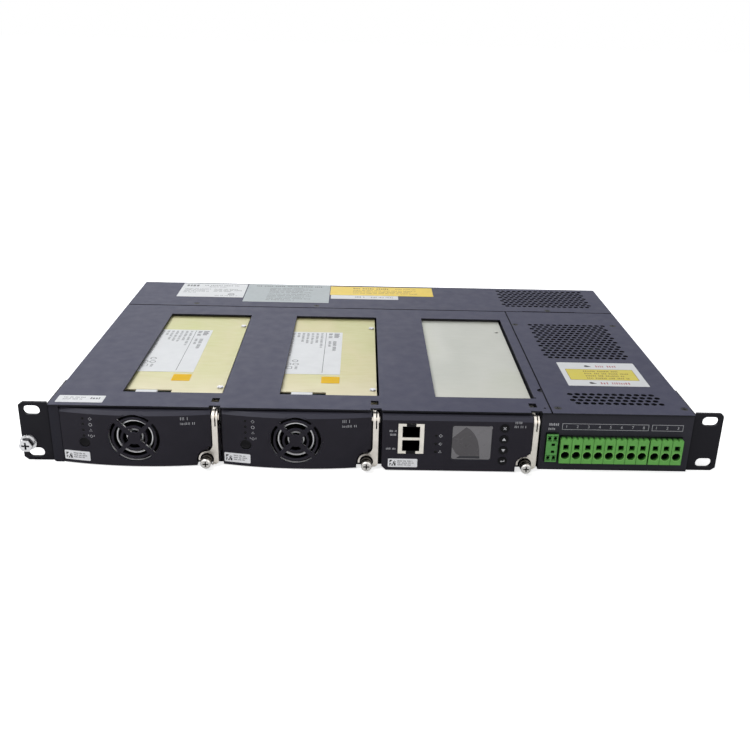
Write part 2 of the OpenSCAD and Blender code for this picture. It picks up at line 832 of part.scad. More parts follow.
// Bowed body of revolution, r less than the outer one by wall
module bow(wall, z0, z1, bevel) {
  r = bow_r - wall;
  translate([fan_x + 3, bow_r - bow_out, 0]) {
    translate([0, 0, z0]) cylinder(r = r, h = z1 - bevel - z0, $fn = 360);
    translate([0, 0, z1 - bevel - eps]) cylinder(r1 = r, r2 = r - bevel, h = bevel + eps, $fn = 360);
  }
}

led_x = 16.7;
led_z = [35, 30.7, 26.4, 22.1];
led_r = 0.9;
button_z = 16.9;
button_r = 3.7;

// Moulded rectifier bezel: bowed, with a spoked grille over the fan
module rectifier_bezel() {
  color("#2b2a30") difference() {
    union() {
      difference() {
        intersection() {
          bow(0, bezel_z, case_top, bezel_bevel);
          block([0.6, -20, bezel_z], [face_right, module_y, case_top]);
        }
        intersection() {
          bow(bezel_wall, bezel_z + 1, case_top - 1, bezel_bevel - 0.4);
          block([0.6 + bezel_side, -20, bezel_z + 1], [face_right - bezel_side, module_y + 1, case_top - 1]);
        }
        corner_notch();
      }
      // wall that closes the notch behind the captive screw
      intersection() {
        block([notch_left() - notch_wall, -20, bezel_z], [face_right, recess_y, screw_z + notch_r + notch_wall]);
        bow(bezel_wall - 0.5, bezel_z, case_top - 1, bezel_bevel);
        difference() {
          bar_y(screw_x, screw_z, notch_r + notch_wall, -20, recess_y);
          corner_notch();
        }
      }
      lever_web();
      pin_boss();
      intersection() {
        bow(0.1, bezel_z, case_top - 1, bezel_bevel);
        for (z = led_z) bar_y(led_x, z, led_r + 0.9, -20, fan_front);
        block([0, -20, 0], [face_right, module_y, case_top]);
      }
    }
    translate([fan_x, 0, fan_z]) rotate([90, 0, 0]) linear_extrude(20) grille_openings();
    for (z = led_z) bar_y(led_x, z, led_r + fit_gap, -20, module_y + 1);
    bar_y(led_x, button_z, button_r + 0.15, -20, module_y + 1);
    pin_bore();
  }
}

// Wire finger guard on the front of the fan
guard_y = fan_front - wire_r;
guard_radii = [5.2, 11.4, 17.2];
module finger_guard() {
  color("#c8c8cc") translate([fan_x, guard_y, fan_z]) rotate([90, 0, 0]) {
    for (r = guard_radii) rotate_extrude() translate([r, 0]) circle(wire_r, $fn = 16);
    for (turn = [45, 135]) rotate([0, 0, turn])
      rotate([90, 0, 0]) translate([0, 0, -guard_radii[2]]) cylinder(r = wire_r * 0.9, h = 2 * guard_radii[2], $fn = 16);
  }
}

duct_r = fan_w / 2 - 0.8;
hub_r = 8.4;
// Fan housing with a duct, corner holes and a motor mount on struts
module fan_frame() {
  back = fan_front + fan_d;
  h = fan_w / 2;
  color("#1c1c1e") translate([fan_x, 0, fan_z]) difference() {
    union() {
      difference() {
        plate_xz(fan_front, back) round_area([-h, -h], [h, h], 1.5);
        bar_y(0, 0, duct_r, fan_front - 1, back + 1);
        // waist between the flanges
        difference() {
          plate_xz(fan_front + 3.5, back - 3.5) area([-h - 1, -h - 1], [h + 1, h + 1]);
          bar_y(0, 0, duct_r + 0.7, fan_front, back);
        }
      }
      // motor mount and its struts
      bar_y(0, 0, hub_r, back - 2.6, back);
      for (turn = [0, 90]) rotate([0, turn, 0])
        block([-duct_r - 0.4, back - 2.2, -1.2], [duct_r + 0.4, back, 1.2]);
    }
    for (x = [-1, 1], z = [-1, 1]) bar_y(x * 15.6, z * 15.6, 1.5, fan_front - 1, back + 1);
    bar_y(0, 0, shaft_r + pin_gap, back - 3, back + 1);
  }
}

shaft_r = 1.5;
// Rotor: motor hub with swept blades, turning about Y
module fan_rotor() {
  back = fan_front + fan_d;
  front = fan_front + 3;
  tip = duct_r - tip_gap;
  color("#232326") translate([fan_x, 0, fan_z]) {
    difference() {
      union() {
        bar_y(0, 0, hub_r, front + 1.2, back - 3.2);
        translate([0, front + 1.2 + eps, 0]) rotate([90, 0, 0]) cylinder(r1 = hub_r, r2 = hub_r - 1.2, h = 1.2);
        intersection() {
          bar_y(0, 0, tip, front, back - 4);
          for (i = [0:blades - 1])
            rotate([0, i * 360 / blades, 0]) translate([0, (front + back) / 2 - 3, hub_r - 1])
              linear_extrude(tip) difference() {
                intersection() {
                  translate([3, 13.4]) circle(16);
                  area([-5.4, -8], [5.4, 8]);
                }
                translate([3.4, 14.6]) circle(16.2);
              }
        }
      }
      bar_y(0, 0, 3, front - 1, front + 0.5);
    }
    bar_y(0, 0, shaft_r, back - 3.4, back - 0.5);
  }
}

// Board of a rectifier with its transformer, heat sinks and capacitors
module power_board() {
  top = board_z + board_t;
  fins = 7;
  color("#2a6b3c") difference() {
    union() {
      block([case_left + case_t + 1, 28, board_z], [case_right - case_t - 1, case_end - 8, top]);
      block([58, 60, top - eps], [92, 96, top + 24]);
      for (side = [0, 1]) translate([14 + side * 66, 108, 0]) {
        block([0, 0, top - eps], [18, 60, top + 3]);
        for (i = [0:fins - 1]) block([i * 2.8, 0, top], [i * 2.8 + 1.2, 60, top + 25]);
      }
      for (i = [0:1]) translate([24, 44 + i * 27, top - eps]) cylinder(r = 11, h = 27);
      for (i = [0:2]) translate([50, 112 + i * 22, top - eps]) cylinder(r = 8, h = 22);
    }
    for (x = [8, case_right - 8], y = [40, 185]) translate([x, y, board_z - 1]) cylinder(r = 1.6, h = 4);
  }
}

// Plug at the module's back, standing on its board
module plug(base_z) {
  x0 = plug_x - plug_w / 2;
  x1 = plug_x + plug_w / 2;
  color("#d8d2bd") difference() {
    union() {
      block([x0, case_end - 18, base_z], [x1, case_end - case_t - 0.4, plug_z + plug_h / 2]);
      block([x0, case_end - 18, plug_z - plug_h / 2], [x1, plug_end, plug_z + plug_h / 2]);
    }
    for (i = [0:5])
      block([x0 + 1.6 + i * 4, plug_end - 6, plug_z - 3.4], [x0 + 3.4 + i * 4, plug_end + 1, plug_z + 3.4]);
  }
}

// Ejector lever --------------------------------------------------

// Front face of the lever: strap, toe, hook and the gusset between them
toe_z = 1.8;
sweep_r = 6;
fork_z = 30.5;
fork_gap = 0.9;
module lever_face() {
  sweep_top = screw_z + hook_r + sweep_r - 0.6;
  difference() {
    union() {
      area([lever_left, 4.4], [lever_right, pivot_z]);
      polygon([[lever_left - 2, 6], [lever_left - 0.6, toe_z + 0.8], [lever_left + 0.6, toe_z],
               [lever_right - 1.8, toe_z], [lever_right - 0.5, toe_z + 0.8], [lever_right, 4.4], [lever_right, 6]]);
      translate([screw_x, screw_z]) circle(hook_r);
      // concave sweep from the strap to the hook
      polygon(concat([[lever_left + 1, screw_z], [lever_left + 1, sweep_top]],
                     [for (a = [0:-10:-80]) [lever_left - sweep_r + sweep_r * cos(a), sweep_top + sweep_r * sin(a)]],
                     [[screw_x, screw_z + hook_r - 0.4], [screw_x, screw_z]]));
    }
    translate([screw_x, screw_z]) circle(hook_in_r);
    // the hook is open below
    polygon([[screw_x - 9, screw_z - 1], [screw_x, screw_z - 1], [screw_x + 3.6, screw_z - 4.6],
             [screw_x + 2.4, screw_z - 9], [screw_x - 9, screw_z - 9]]);
    // slot of the fork
    area([lever_right - lever_t - fork_gap, fork_z], [lever_right - lever_t, pivot_z + 1]);
  }
}

// Side view of a fork cheek: a round eye with a leg down to z0
cheek_d = 4.2;
module cheek(z0) {
  translate([pivot_y, pivot_z]) circle(eye_r);
  area([-lever_out, z0], [-lever_out + cheek_d, pivot_z]);
}

// Folded lever: strap and hook in front, two cheeks, and an arm whose tooth sits in the cover's latch hole
rim_d = 2.6;
module lever() {
  arm_top = pivot_z + eye_r - 0.4;
  color("#d2cdc4") difference() {
    union() {
      plate_xz(-lever_out, -lever_out + lever_t) lever_face();
      // rim of the hook, folded back
      plate_xz(-lever_out + lever_t / 2, -lever_out + lever_t + rim_d) intersection() {
        difference() {
          translate([screw_x, screw_z]) circle(hook_r - 0.1);
          translate([screw_x, screw_z]) circle(hook_in_r + 0.1);
        }
        polygon([[screw_x - 9, screw_z - 0.5], [screw_x, screw_z - 0.5], [screw_x + 4, screw_z + 9],
                 [screw_x - 9, screw_z + 9]]);
      }
      plate_yz(lever_right - lever_t, lever_right) cheek(6);
      plate_yz(lever_left, lever_left + tooth_w) {
        cheek(fork_z - 6);
        // arm and tooth
        polygon([[pivot_y + 1, pivot_z], [pivot_y + 1, arm_top], [tooth_y - 2.6, arm_top], [tooth_y - 1.8, tooth_top],
                 [tooth_y, tooth_top], [tooth_y + 0.6, pivot_z + 3.4], [tooth_y - 2, pivot_z]]);
      }
    }
    bar_x(pivot_y, pivot_z, pin_r + pin_gap, lever_left - 1, lever_right + 1);
  }
}

module lever_pin() {
  color("#d2cdc4") {
    bar_x(pivot_y, pivot_z, pin_r, face_right - 4, lever_right + 0.2);
    bar_x(pivot_y, pivot_z, pin_r + 1, lever_right + 0.1, lever_right + 0.8);
  }
}

// Captive screw: domed cross head, smooth barrel and threaded tip
head_t = 3.6;
screw_head_y = -16;
module captive_screw() {
  color("#d2cdc4") difference() {
    union() {
      bar_y(screw_x, screw_z, head_r, screw_head_y + 0.7, screw_head_y + head_t);
      translate([screw_x, screw_head_y + 0.7 + eps, screw_z]) rotate([90, 0, 0])
        cylinder(r1 = head_r, r2 = head_r - 0.8, h = 0.7);
      bar_y(screw_x, screw_z, head_r - 0.9, screw_head_y + head_t - eps, screw_head_y + head_t + 1.2);
      bar_y(screw_x, screw_z, barrel_r, screw_head_y + head_t + 1.2 - eps, barrel_end);
      bar_y(screw_x, screw_z, 1.5, barrel_end - eps, recess_y + 0.5);
    }
    cross_recess(screw_x, screw_z, screw_head_y, 1.1, 4.6, 2.2);
  }
}
barrel_end = recess_y - screw_travel - slide_gap;

// Light pipes of a rectifier
module light_pipes() {
  color("#9fb8a0") for (z = led_z) bar_y(led_x, z, led_r, bow_front(led_x) + 0.3, fan_front + 1);
}
// Y of the bowed face at a distance x from the bay's left edge
function bow_front(x) = bow_r - bow_out - sqrt(bow_r * bow_r - (x - fan_x - 3) * (x - fan_x - 3));

// Recessed round button
module button() {
  front = bow_front(led_x) + 1.1;
  color("#26252b") {
    difference() {
      bar_y(led_x, button_z, button_r, front, front + 4);
      translate([led_x, front - 7.4, button_z]) sphere(8, $fn = 64);
    }
    bar_y(led_x, button_z, button_r - 1.2, front + 4 - eps, module_y - 1);
  }
}

// Controller ---------------------------------------------------

jack_x = 11.1;
jack_z = 13.8;
display_x = 47.8;
display_z = 9.5;
key_x = 83.4;
key_z = [for (i = [0:3]) 9.1 + i * key_pitch];
status_x = 37;
status_z = [27.4, 21.3, 15.2];
front_board_y = -4.4;

// Flat moulded bezel with cut-outs for the jack, the display and the keys
module controller_bezel() {
  face = -flat_out;
  color("#2b2a30") difference() {
    union() {
      difference() {
        plate_yz(0.2, face_right) polygon([[module_y, bezel_z], [face, bezel_z], [face, case_top - bezel_bevel],
                                           [face + bezel_bevel, case_top], [module_y, case_top]]);
        block([0.2 + bezel_side, face + bezel_wall, bezel_z + 1],
              [face_right - bezel_side, module_y + 1, case_top - bezel_bevel]);
        corner_notch();
      }
      difference() {
        bar_y(screw_x, screw_z, notch_r + notch_wall, face + bezel_wall, recess_y);
        corner_notch();
        block([0, -20, -9], [bay_w + 9, 1, bezel_z]);
        block([face_right, -20, 0], [bay_w + 9, 1, 40]);
      }
      lever_web();
      pin_boss();
    }
    // lower left corner is bevelled
    plate_xz(-20, module_y + 1) polygon([[-1, -1], [3.2, -1], [3.2, bezel_z], [0, bezel_z + 3], [-1, bezel_z + 3]]);
    plate_xz(-20, 1) area([jack_x - 0.15, jack_z - 0.15], [jack_x + jack_w + 0.15, jack_z + jack_h + 0.15]);
    plate_xz(-20, 1) round_area([display_x - 0.15, display_z - 0.15], [display_x + display_w + 0.15, display_z + display_h + 0.15], 1);
    for (z = key_z) bar_y(key_x, z, key_r + 0.2, -20, 1);
    for (z = status_z) bar_y(status_x, z, led_r + fit_gap, -20, 1);
    pin_bore();
  }
}

// Front board and main board of the controller, with the plug's shell at the back
module controller_board() {
  top = board_z + board_t;
  back = front_board_y + board_t;
  color("#2a6b3c") difference() {
    union() {
      block([4, front_board_y, 3.9], [face_right - 12.5, back, case_top - 2.6]);
      block([case_left + case_t + 1, back - eps, board_z], [face_right - 12.5, 3, top]);
      block([case_left + case_t + 1, 2, board_z], [face_right - case_t - 1, case_end - 8, top]);
      for (i = [0:2]) block([20 + i * 24, 60, top - eps], [36 + i * 24, 76, top + 3]);
      block([30, 110, top - eps], [60, 150, top + 18]);
      for (i = [0:1]) translate([80, 50 + i * 70, top - eps]) cylinder(r = 8, h = 20);
    }
    block([jack_x - 0.3, front_board_y - 1, top], [jack_x + jack_w + 0.3, back + 1, jack_z + jack_h + 0.4]);
    for (y = [40, 185]) translate([8, y, board_z - 1]) cylinder(r = 1.6, h = 4);
  }
}

// Stacked network jack: a plated shell round two ports
port_w = 11.9;
port_h = 8.3;
port_d = 13;
jack_front = -flat_out - 0.4;
module network_jack() {
  mid = jack_x + jack_w / 2;
  rim = (jack_h - 2 * port_h) / 3;
  color("#c9bda5") difference() {
    block([jack_x, jack_front, board_z + board_t + eps], [jack_x + jack_w, jack_front + 17, jack_z + jack_h]);
    block([jack_x - 1, jack_front - 1, 0], [jack_x + jack_w + 1, back_of_front_board(), jack_z]);
    for (level = [0, 1]) {
      z0 = jack_z + rim + level * (port_h + rim);
      block([mid - port_w / 2, jack_front - 1, z0], [mid + port_w / 2, jack_front + port_d, z0 + port_h]);
      // latch notch: down on the lower port, up on the upper one
      block([mid - 2.6, jack_front - 1, level == 0 ? z0 - 1.2 : z0 + port_h - eps],
            [mid + 2.6, jack_front + 9, level == 0 ? z0 + eps : z0 + port_h + 1.2]);
    }
  }
}
function back_of_front_board() = front_board_y + board_t;

// Display module behind its glass
module display() {
  color("#3c3c40") difference() {
    union() {
      plate_xz(-flat_out + 0.4, front_board_y)
        round_area([display_x, display_z], [display_x + display_w, display_z + display_h], 0.9);
    }
    // sunk view area
    block([display_x + 2.6, -flat_out, display_z + 5.4],
          [display_x + display_w - 2.6, -flat_out + 0.8, display_z + display_h - 2.4]);
  }
}

// Round key: cap, flange behind the bezel, stem
module key(i) {
  z = key_z[i];
  key_back = front_board_y - 1.1;
  color("#232227") difference() {
    union() {
      bar_y(key_x, z, key_r, -flat_out - 0.3, -flat_out + bezel_wall + 0.6);
      bar_y(key_x, z, key_r + 0.7, -flat_out + bezel_wall + 0.05, -flat_out + bezel_wall + 0.9);
      bar_y(key_x, z, 1.4, -flat_out + bezel_wall + 0.8, key_back);
    }
    translate([key_x, -flat_out - 0.3 - 13.8, z]) sphere(14, $fn = 64);
  }
}

module escape_key() { key(3); }
module up_key() { key(2); }
module down_key() { key(1); }
module enter_key() { key(0); }

module controller_light_pipes() {
  color("#9fb8a0") for (z = status_z) bar_y(status_x, z, led_r, -flat_out + 0.3, front_board_y);
}

// ---------------------------------------------------------------- assembly

// Puts a module's piece in bay n, counted from 0
module in_bay(n) { translate([bay_x(n), 0, 0]) children(); }

chassis_tray();
front_cover();
rear_cover();
right_cover();
terminal_panel();
left_ear();
right_ear();
ear_screws();
cover_screws();
ground_screw();
ground_washers();
bay_dividers();
crossbar();
backplane_board();
backplane_sockets();
busbars();
distribution_board();
load_terminals();
input_terminals();
signal_connector();

in_bay(0) rectifier_bezel();  // bezel_1
in_bay(0) module_case();  // case_1
in_bay(0) top_plate(true);  // top_plate_1
in_bay(0) finger_guard();  // finger_guard_1
in_bay(0) fan_frame();  // fan_frame_1
in_bay(0) fan_rotor();  // fan_rotor_1
in_bay(0) power_board();  // power_board_1
in_bay(0) plug(board_z + board_t);  // plug_1
in_bay(0) lever();  // lever_1
in_bay(0) lever_pin();  // lever_pin_1
in_bay(0) captive_screw();  // captive_screw_1
in_bay(0) button();  // button_1
in_bay(0) light_pipes();  // light_pipes_1

in_bay(1) rectifier_bezel();  // bezel_2
in_bay(1) module_case();  // case_2
in_bay(1) top_plate(true);  // top_plate_2
in_bay(1) finger_guard();  // finger_guard_2
in_bay(1) fan_frame();  // fan_frame_2
in_bay(1) fan_rotor();  // fan_rotor_2
in_bay(1) power_board();  // power_board_2
in_bay(1) plug(board_z + board_t);  // plug_2
in_bay(1) lever();  // lever_2
in_bay(1) lever_pin();  // lever_pin_2
in_bay(1) captive_screw();  // captive_screw_2
in_bay(1) button();  // button_2
in_bay(1) light_pipes();  // light_pipes_2

in_bay(2) controller_bezel();
in_bay(2) module_case();  // controller_case
in_bay(2) top_plate(false);  // controller_top_plate
in_bay(2) controller_board();
in_bay(2) network_jack();
in_bay(2) display();
in_bay(2) up_key();
in_bay(2) down_key();
in_bay(2) enter_key();
in_bay(2) escape_key();
in_bay(2) controller_light_pipes();
in_bay(2) lever();  // controller_lever
in_bay(2) lever_pin();  // controller_lever_pin
in_bay(2) captive_screw();  // controller_captive_screw
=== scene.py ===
"""Looks for the rack power shelf: finishes, labels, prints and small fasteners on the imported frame.

Sizes and places are in millimetres, and add_piece turns them into the frame's metres. Places on a
label are measured from its lower left corner, and most places on a module from its bay's left edge.
"""

import math
import random

import bmesh
import bpy
from mathutils import Matrix, Vector

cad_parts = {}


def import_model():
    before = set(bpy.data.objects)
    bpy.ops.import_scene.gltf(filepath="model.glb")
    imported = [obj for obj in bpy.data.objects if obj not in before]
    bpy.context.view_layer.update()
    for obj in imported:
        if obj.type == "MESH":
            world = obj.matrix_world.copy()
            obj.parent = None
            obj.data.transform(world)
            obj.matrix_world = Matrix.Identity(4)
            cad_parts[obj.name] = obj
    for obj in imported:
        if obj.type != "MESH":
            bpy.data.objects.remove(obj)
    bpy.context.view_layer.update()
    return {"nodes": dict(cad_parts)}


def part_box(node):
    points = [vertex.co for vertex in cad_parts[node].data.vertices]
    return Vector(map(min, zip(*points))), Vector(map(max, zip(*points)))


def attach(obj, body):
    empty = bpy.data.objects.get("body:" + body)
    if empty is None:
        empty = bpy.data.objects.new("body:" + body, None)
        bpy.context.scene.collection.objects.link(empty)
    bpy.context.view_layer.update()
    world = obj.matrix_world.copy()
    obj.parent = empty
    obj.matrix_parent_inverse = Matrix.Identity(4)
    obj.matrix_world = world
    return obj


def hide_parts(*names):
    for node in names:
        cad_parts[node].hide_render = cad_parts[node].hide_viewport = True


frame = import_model()
nodes = frame["nodes"]

MM = 0.001
RECTIFIERS = {"rectifier_1": "1", "rectifier_2": "2"}
CASES = {"rectifier_1": "case_1", "rectifier_2": "case_2", "controller": "controller_case"}
BLOCKS = (("load_terminals", 8), ("input_terminals", 3))


def corner(node, which):
    """Lowest (0) or highest (1) corner of a CAD node, in millimetres."""
    return Vector(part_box(node)[which]) / MM


# ------------------------------------------------------------------ materials


class Shader:
    """A Principled material and the few node chains that the finishes below share."""

    def __init__(self, name, roughness=0.5, metallic=0.0, specular=0.5):
        self.material = bpy.data.materials.new(name)
        self.material.use_nodes = True
        self.tree = self.material.node_tree
        self.bsdf = self.tree.nodes["Principled BSDF"]
        self.bsdf.inputs["Roughness"].default_value = roughness
        self.bsdf.inputs["Metallic"].default_value = metallic
        self.bsdf.inputs["Specular IOR Level"].default_value = specular
        self.coords = self.tree.nodes.new("ShaderNodeTexCoord")
        self.normal = None

    def node(self, kind, **values):
        made = self.tree.nodes.new(kind)
        for key, value in values.items():
            setattr(made, key, value)
        return made

    def link(self, a, b):
        self.tree.links.new(a, b)

    def place(self, stretch=(1, 1, 1)):
        """Object coordinates, stretched so that grain can run along one axis."""
        mapping = self.node("ShaderNodeMapping")
        mapping.inputs["Scale"].default_value = stretch
        self.link(self.coords.outputs["Object"], mapping.inputs["Vector"])
        return mapping.outputs["Vector"]

    def noise(self, size_mm, detail=3.0, stretch=(1, 1, 1)):
        """Noise whose features are about size_mm across."""
        made = self.node("ShaderNodeTexNoise")
        made.inputs["Scale"].default_value = 1 / (size_mm * MM)
        made.inputs["Detail"].default_value = detail
        made.inputs["Roughness"].default_value = 0.55
        self.link(self.place(stretch), made.inputs["Vector"])
        return made.outputs["Fac"]

    def ramp(self, factor, stops):
        """Colours along a factor, each stop a place from 0 to 1 and its colour."""
        made = self.node("ShaderNodeValToRGB")
        elements = made.color_ramp.elements
        while len(elements) < len(stops):
            elements.new(0.5)
        for element, (at, colour) in zip(elements, stops):
            element.position = at
            element.color = (*colour, 1)
        self.link(factor, made.inputs["Fac"])
        return made.outputs["Color"]

    def range(self, factor, low, high, start=0.3, end=0.7):
        """Runs from low to high while the factor runs from start to end."""
        made = self.node("ShaderNodeMapRange")
        made.inputs["From Min"].default_value = start
        made.inputs["From Max"].default_value = end
        made.inputs["To Min"].default_value = low
        made.inputs["To Max"].default_value = high
        self.link(factor, made.inputs["Value"])
        return made.outputs["Result"]

    def along(self, axis, start_mm, end_mm):
        """Runs from 0 to 1 between two places on an axis of the part."""
        split = self.node("ShaderNodeSeparateXYZ")
        self.link(self.coords.outputs["Object"], split.inputs["Vector"])
        return self.range(split.outputs[axis], 0, 1, start_mm * MM, end_mm * MM)

    def upward(self, low, high, start, end):
        """Runs from low to high as the surface turns from sideways to face up."""
        split = self.node("ShaderNodeSeparateXYZ")
        self.link(self.coords.outputs["Normal"], split.inputs["Vector"])
        return self.range(split.outputs["Z"], low, high, start, end)

    def mix(self, factor, first, second):
        """Mixes two colours; the second is a plain one."""
        made = self.node("ShaderNodeMix", data_type="RGBA")
        self.link(factor, made.inputs[0])
        self.link(first, made.inputs[6])
        made.inputs[7].default_value = (*second, 1)
        return made.outputs[2]

    def tinted(self, size_mm, colour, spread, stretch=(1, 1, 1)):
        """A colour that drifts a little either way."""
        stops = [(0.3, shade(colour, 1 - spread)), (0.7, shade(colour, 1 + spread))]
        return self.ramp(self.noise(size_mm, 3, stretch), stops)

    def colour(self, output):
        self.link(output, self.bsdf.inputs["Base Color"])

    def roughness(self, output):
        self.link(output, self.bsdf.inputs["Roughness"])

    def bump(self, height, depth_mm, strength=1.0):
        """Adds relief on top of any that is already there."""
        made = self.node("ShaderNodeBump")
        made.inputs["Strength"].default_value = strength
        made.inputs["Distance"].default_value = depth_mm * MM
        self.link(height, made.inputs["Height"])
        if self.normal is not None:
            self.link(self.normal, made.inputs["Normal"])
        self.normal = made.outputs["Normal"]
        self.link(self.normal, self.bsdf.inputs["Normal"])


def shade(colour, factor):
    """A colour made lighter or darker."""
    return tuple(min(1.0, channel * factor) for channel in colour)


def powder_coat(name, colour, roughness=0.5, specular=0.3, edges=None):
    """Fine matt powder coat with orange peel; faces that don't look up can take a darker colour as painted
    shade.
    """
    s = Shader(name, roughness, 0.0, specular)
    tone = s.tinted(60, colour, 0.04)
    if edges is not None:
        # Faces turned away from up take the edges colour: painted shade on sides and edges.
        tone = s.mix(s.upward(1, 0, 0.3, 0.7), tone, edges)
    s.colour(tone)
    s.roughness(s.range(s.noise(9, 5), roughness - 0.04, roughness + 0.05))
    s.bump(s.noise(1.1, 2), 0.04, 0.2)
    s.bump(s.noise(0.35, 2), 0.02, 0.3)
    return s.material


def moulded(name, colour, roughness=0.45, grain_mm=0.5, depth_mm=0.02, specular=0.4, bevel=None):
    """Moulded plastic with a spark-eroded texture; faces turned up, such as a bevel, can take a paler
    colour as a painted highlight.
    """
    s = Shader(name, roughness, 0.0, specular)
    tone = s.tinted(14, colour, 0.07)
    if bevel is not None:
        tone = s.mix(s.upward(0, 1, 0.3, 0.6), tone, bevel)
    s.colour(tone)
    s.roughness(s.range(s.noise(6, 4), roughness - 0.05, roughness + 0.06))
    s.bump(s.noise(grain_mm, 3), depth_mm, 0.5)
    return s.material


def moulded_shaded_wells(name, colour, dark, front, depth):
    """Moulded plastic whose wells take painted shade, darkening with depth behind the front face."""
    s = Shader(name, 0.45, 0.0, 0.35)
    s.colour(s.mix(s.along("Y", front + depth[0], front + depth[1]), s.tinted(9, colour, 0.05), dark))
    s.roughness(s.range(s.noise(5, 4), 0.4, 0.52))
    s.bump(s.noise(0.4, 3), 0.012, 0.5)
    return s.material


def plated(name, colour, roughness=0.3, stretch=(1, 1, 1), spread=0.08):
    """Plated metal with rolling marks along one axis and a soft bloom."""
    s = Shader(name, roughness, 1.0)
    s.colour(s.tinted(7, colour, 0.08))
    s.roughness(s.range(s.noise(2.5, 5, stretch), roughness - spread, roughness + spread))
    s.bump(s.noise(0.6, 4, stretch), 0.01, 0.25)
    return s.material


def plated_shaded_wells(name, colour, dark, front, depth, roughness=0.32):
    """Plated metal that turns dull and dark behind its front as painted shade, as inside a recess or a
    socket.
    """
    s = Shader(name, roughness, 1.0)
    # Mask for the painted shade behind the front.
    behind = s.along("Y", front + depth[0], front + depth[1])
    s.colour(s.mix(behind, s.tinted(7, colour, 0.07), dark))
    s.roughness(s.range(s.noise(3, 4), roughness - 0.06, roughness + 0.1))
    s.bump(s.noise(0.7, 4), 0.01, 0.25)
    return s.material


# The front tint of a passivated sheet fades out between these places, from front to back
TINT_FRONT, TINT_BACK = 22, 66


def chromate(name, colours, front_tint, roughness=0.45):
    """Passivated sheet whose colour drifts across it and turns to another tint at its front."""
    s = Shader(name, roughness, 0.25, 0.35)
    steps = [(0.32 + 0.36 * i / (len(colours) - 1), colour) for i, colour in enumerate(colours)]
    drift = s.ramp(s.noise(48, 2, (1.0, 0.45, 1.0)), steps)
    s.colour(s.mix(s.range(s.along("Y", TINT_BACK, TINT_FRONT), 0, 0.85, 0, 1), drift, front_tint))
    s.roughness(s.range(s.noise(3, 5, (0.25, 1.0, 1.0)), roughness - 0.07, roughness + 0.08))
    s.bump(s.noise(0.8, 4, (0.2, 1.0, 1.0)), 0.01, 0.2)
    return s.material


def circuit(name, colour):
    """Solder mask with a hint of copper tracks under it."""
    s = Shader(name, 0.35, 0.0, 0.5)
    tracks = [(0.42, colour), (0.5, shade(colour, 1.5)), (0.58, colour)]
    s.colour(s.ramp(s.noise(2.2, 1, (1, 3, 1)), tracks))
    s.roughness(s.range(s.noise(5), 0.28, 0.45))
    s.bump(s.noise(1.6, 1), 0.03, 0.4)
    return s.material


def film_stock(name, colour, roughness=0.4, specular=0.35):
    """Printed label film: slight drift in tone and a calendered surface."""
    s = Shader(name, roughness, 0.0, specular)
    s.colour(s.tinted(12, colour, 0.03))
    s.roughness(s.range(s.noise(4, 3), roughness - 0.06, roughness + 0.08))
    s.bump(s.noise(3.0, 2), 0.02, 0.25)
    return s.material


def ink(name, colour):
    """Screen-printed ink, a little uneven in cover."""
    s = Shader(name, 0.5, 0.0, 0.3)
    s.colour(s.tinted(0.9, colour, 0.1))
    return s.material


# The tray, dividers and crossbar share the panel's paint; their darker copy of it is painted shade, so
# that the bays and gaps under the covers stay dark.
CHASSIS_PAINT_SHADED = powder_coat("chassis_paint", (0.024, 0.0235, 0.0315), 0.5, 0.1)
PANEL_PAINT = powder_coat("panel_paint", (0.035, 0.034, 0.0435), 0.5, 0.1)
# The covers carry the same paint as the panel; their lighter, bluer copy on faces that look up is painted
# light, and the near-black colour on their sides and edges is painted shade.
COVER_PAINT_LIT_AND_SHADED = powder_coat("cover_paint", (0.0385, 0.0395, 0.074), 0.55, 0.22, (0.008, 0.008, 0.012))
EAR_PAINT = powder_coat("ear_paint", (0.0125, 0.0118, 0.016), 0.46, 0.14)
# Paler colour of the bezels' upturned bevel: a painted highlight where the bevel catches the light.
BEVEL_HIGHLIGHT = (0.05, 0.049, 0.066)
BEZEL = moulded("bezel_plastic", (0.0228, 0.0208, 0.0285), 0.42, 0.45, 0.02, 0.12, BEVEL_HIGHLIGHT)
BUTTON = moulded("button_plastic", (0.0035, 0.0034, 0.0045), 0.36, 0.5, 0.015, 0.16)
FAN = moulded("fan_plastic", (0.004, 0.004, 0.0045), 0.45, 0.6, 0.02, 0.15)
SOCKET = moulded("socket_plastic", (0.62, 0.57, 0.44))
BLOCK_FRONT = corner("load_terminals", 0).y
# Near-black green painted as shade deep inside the terminal blocks' wire entries.
GREEN_SHADE = (0.008, 0.028, 0.01)
GREEN = moulded_shaded_wells("terminal_green", (0.14, 0.43, 0.085), GREEN_SHADE, BLOCK_FRONT, (0.4, 3.4))
# Paler green of the wire entries' lips: a painted highlight on the same moulding as the blocks.
GREEN_LIP_HIGHLIGHT = moulded("terminal_lip_highlight", (0.22, 0.56, 0.13))
SIGNAL_FRONT = corner("signal_connector", 0).y
# Near-black green painted as shade deep inside the signal connector's sockets.
SIGNAL_SHADE = (0.002, 0.008, 0.003)
SIGNAL = moulded_shaded_wells("signal_green", (0.105, 0.36, 0.08), SIGNAL_SHADE, SIGNAL_FRONT, (0.2, 1.0))
NICKEL = plated("nickel", (0.88, 0.83, 0.76), 0.34, (1, 1, 0.3))
STEEL = plated("steel", (0.5, 0.5, 0.51), 0.34)
GROUND = plated("ground_plating", (0.78, 0.78, 0.79), 0.28)
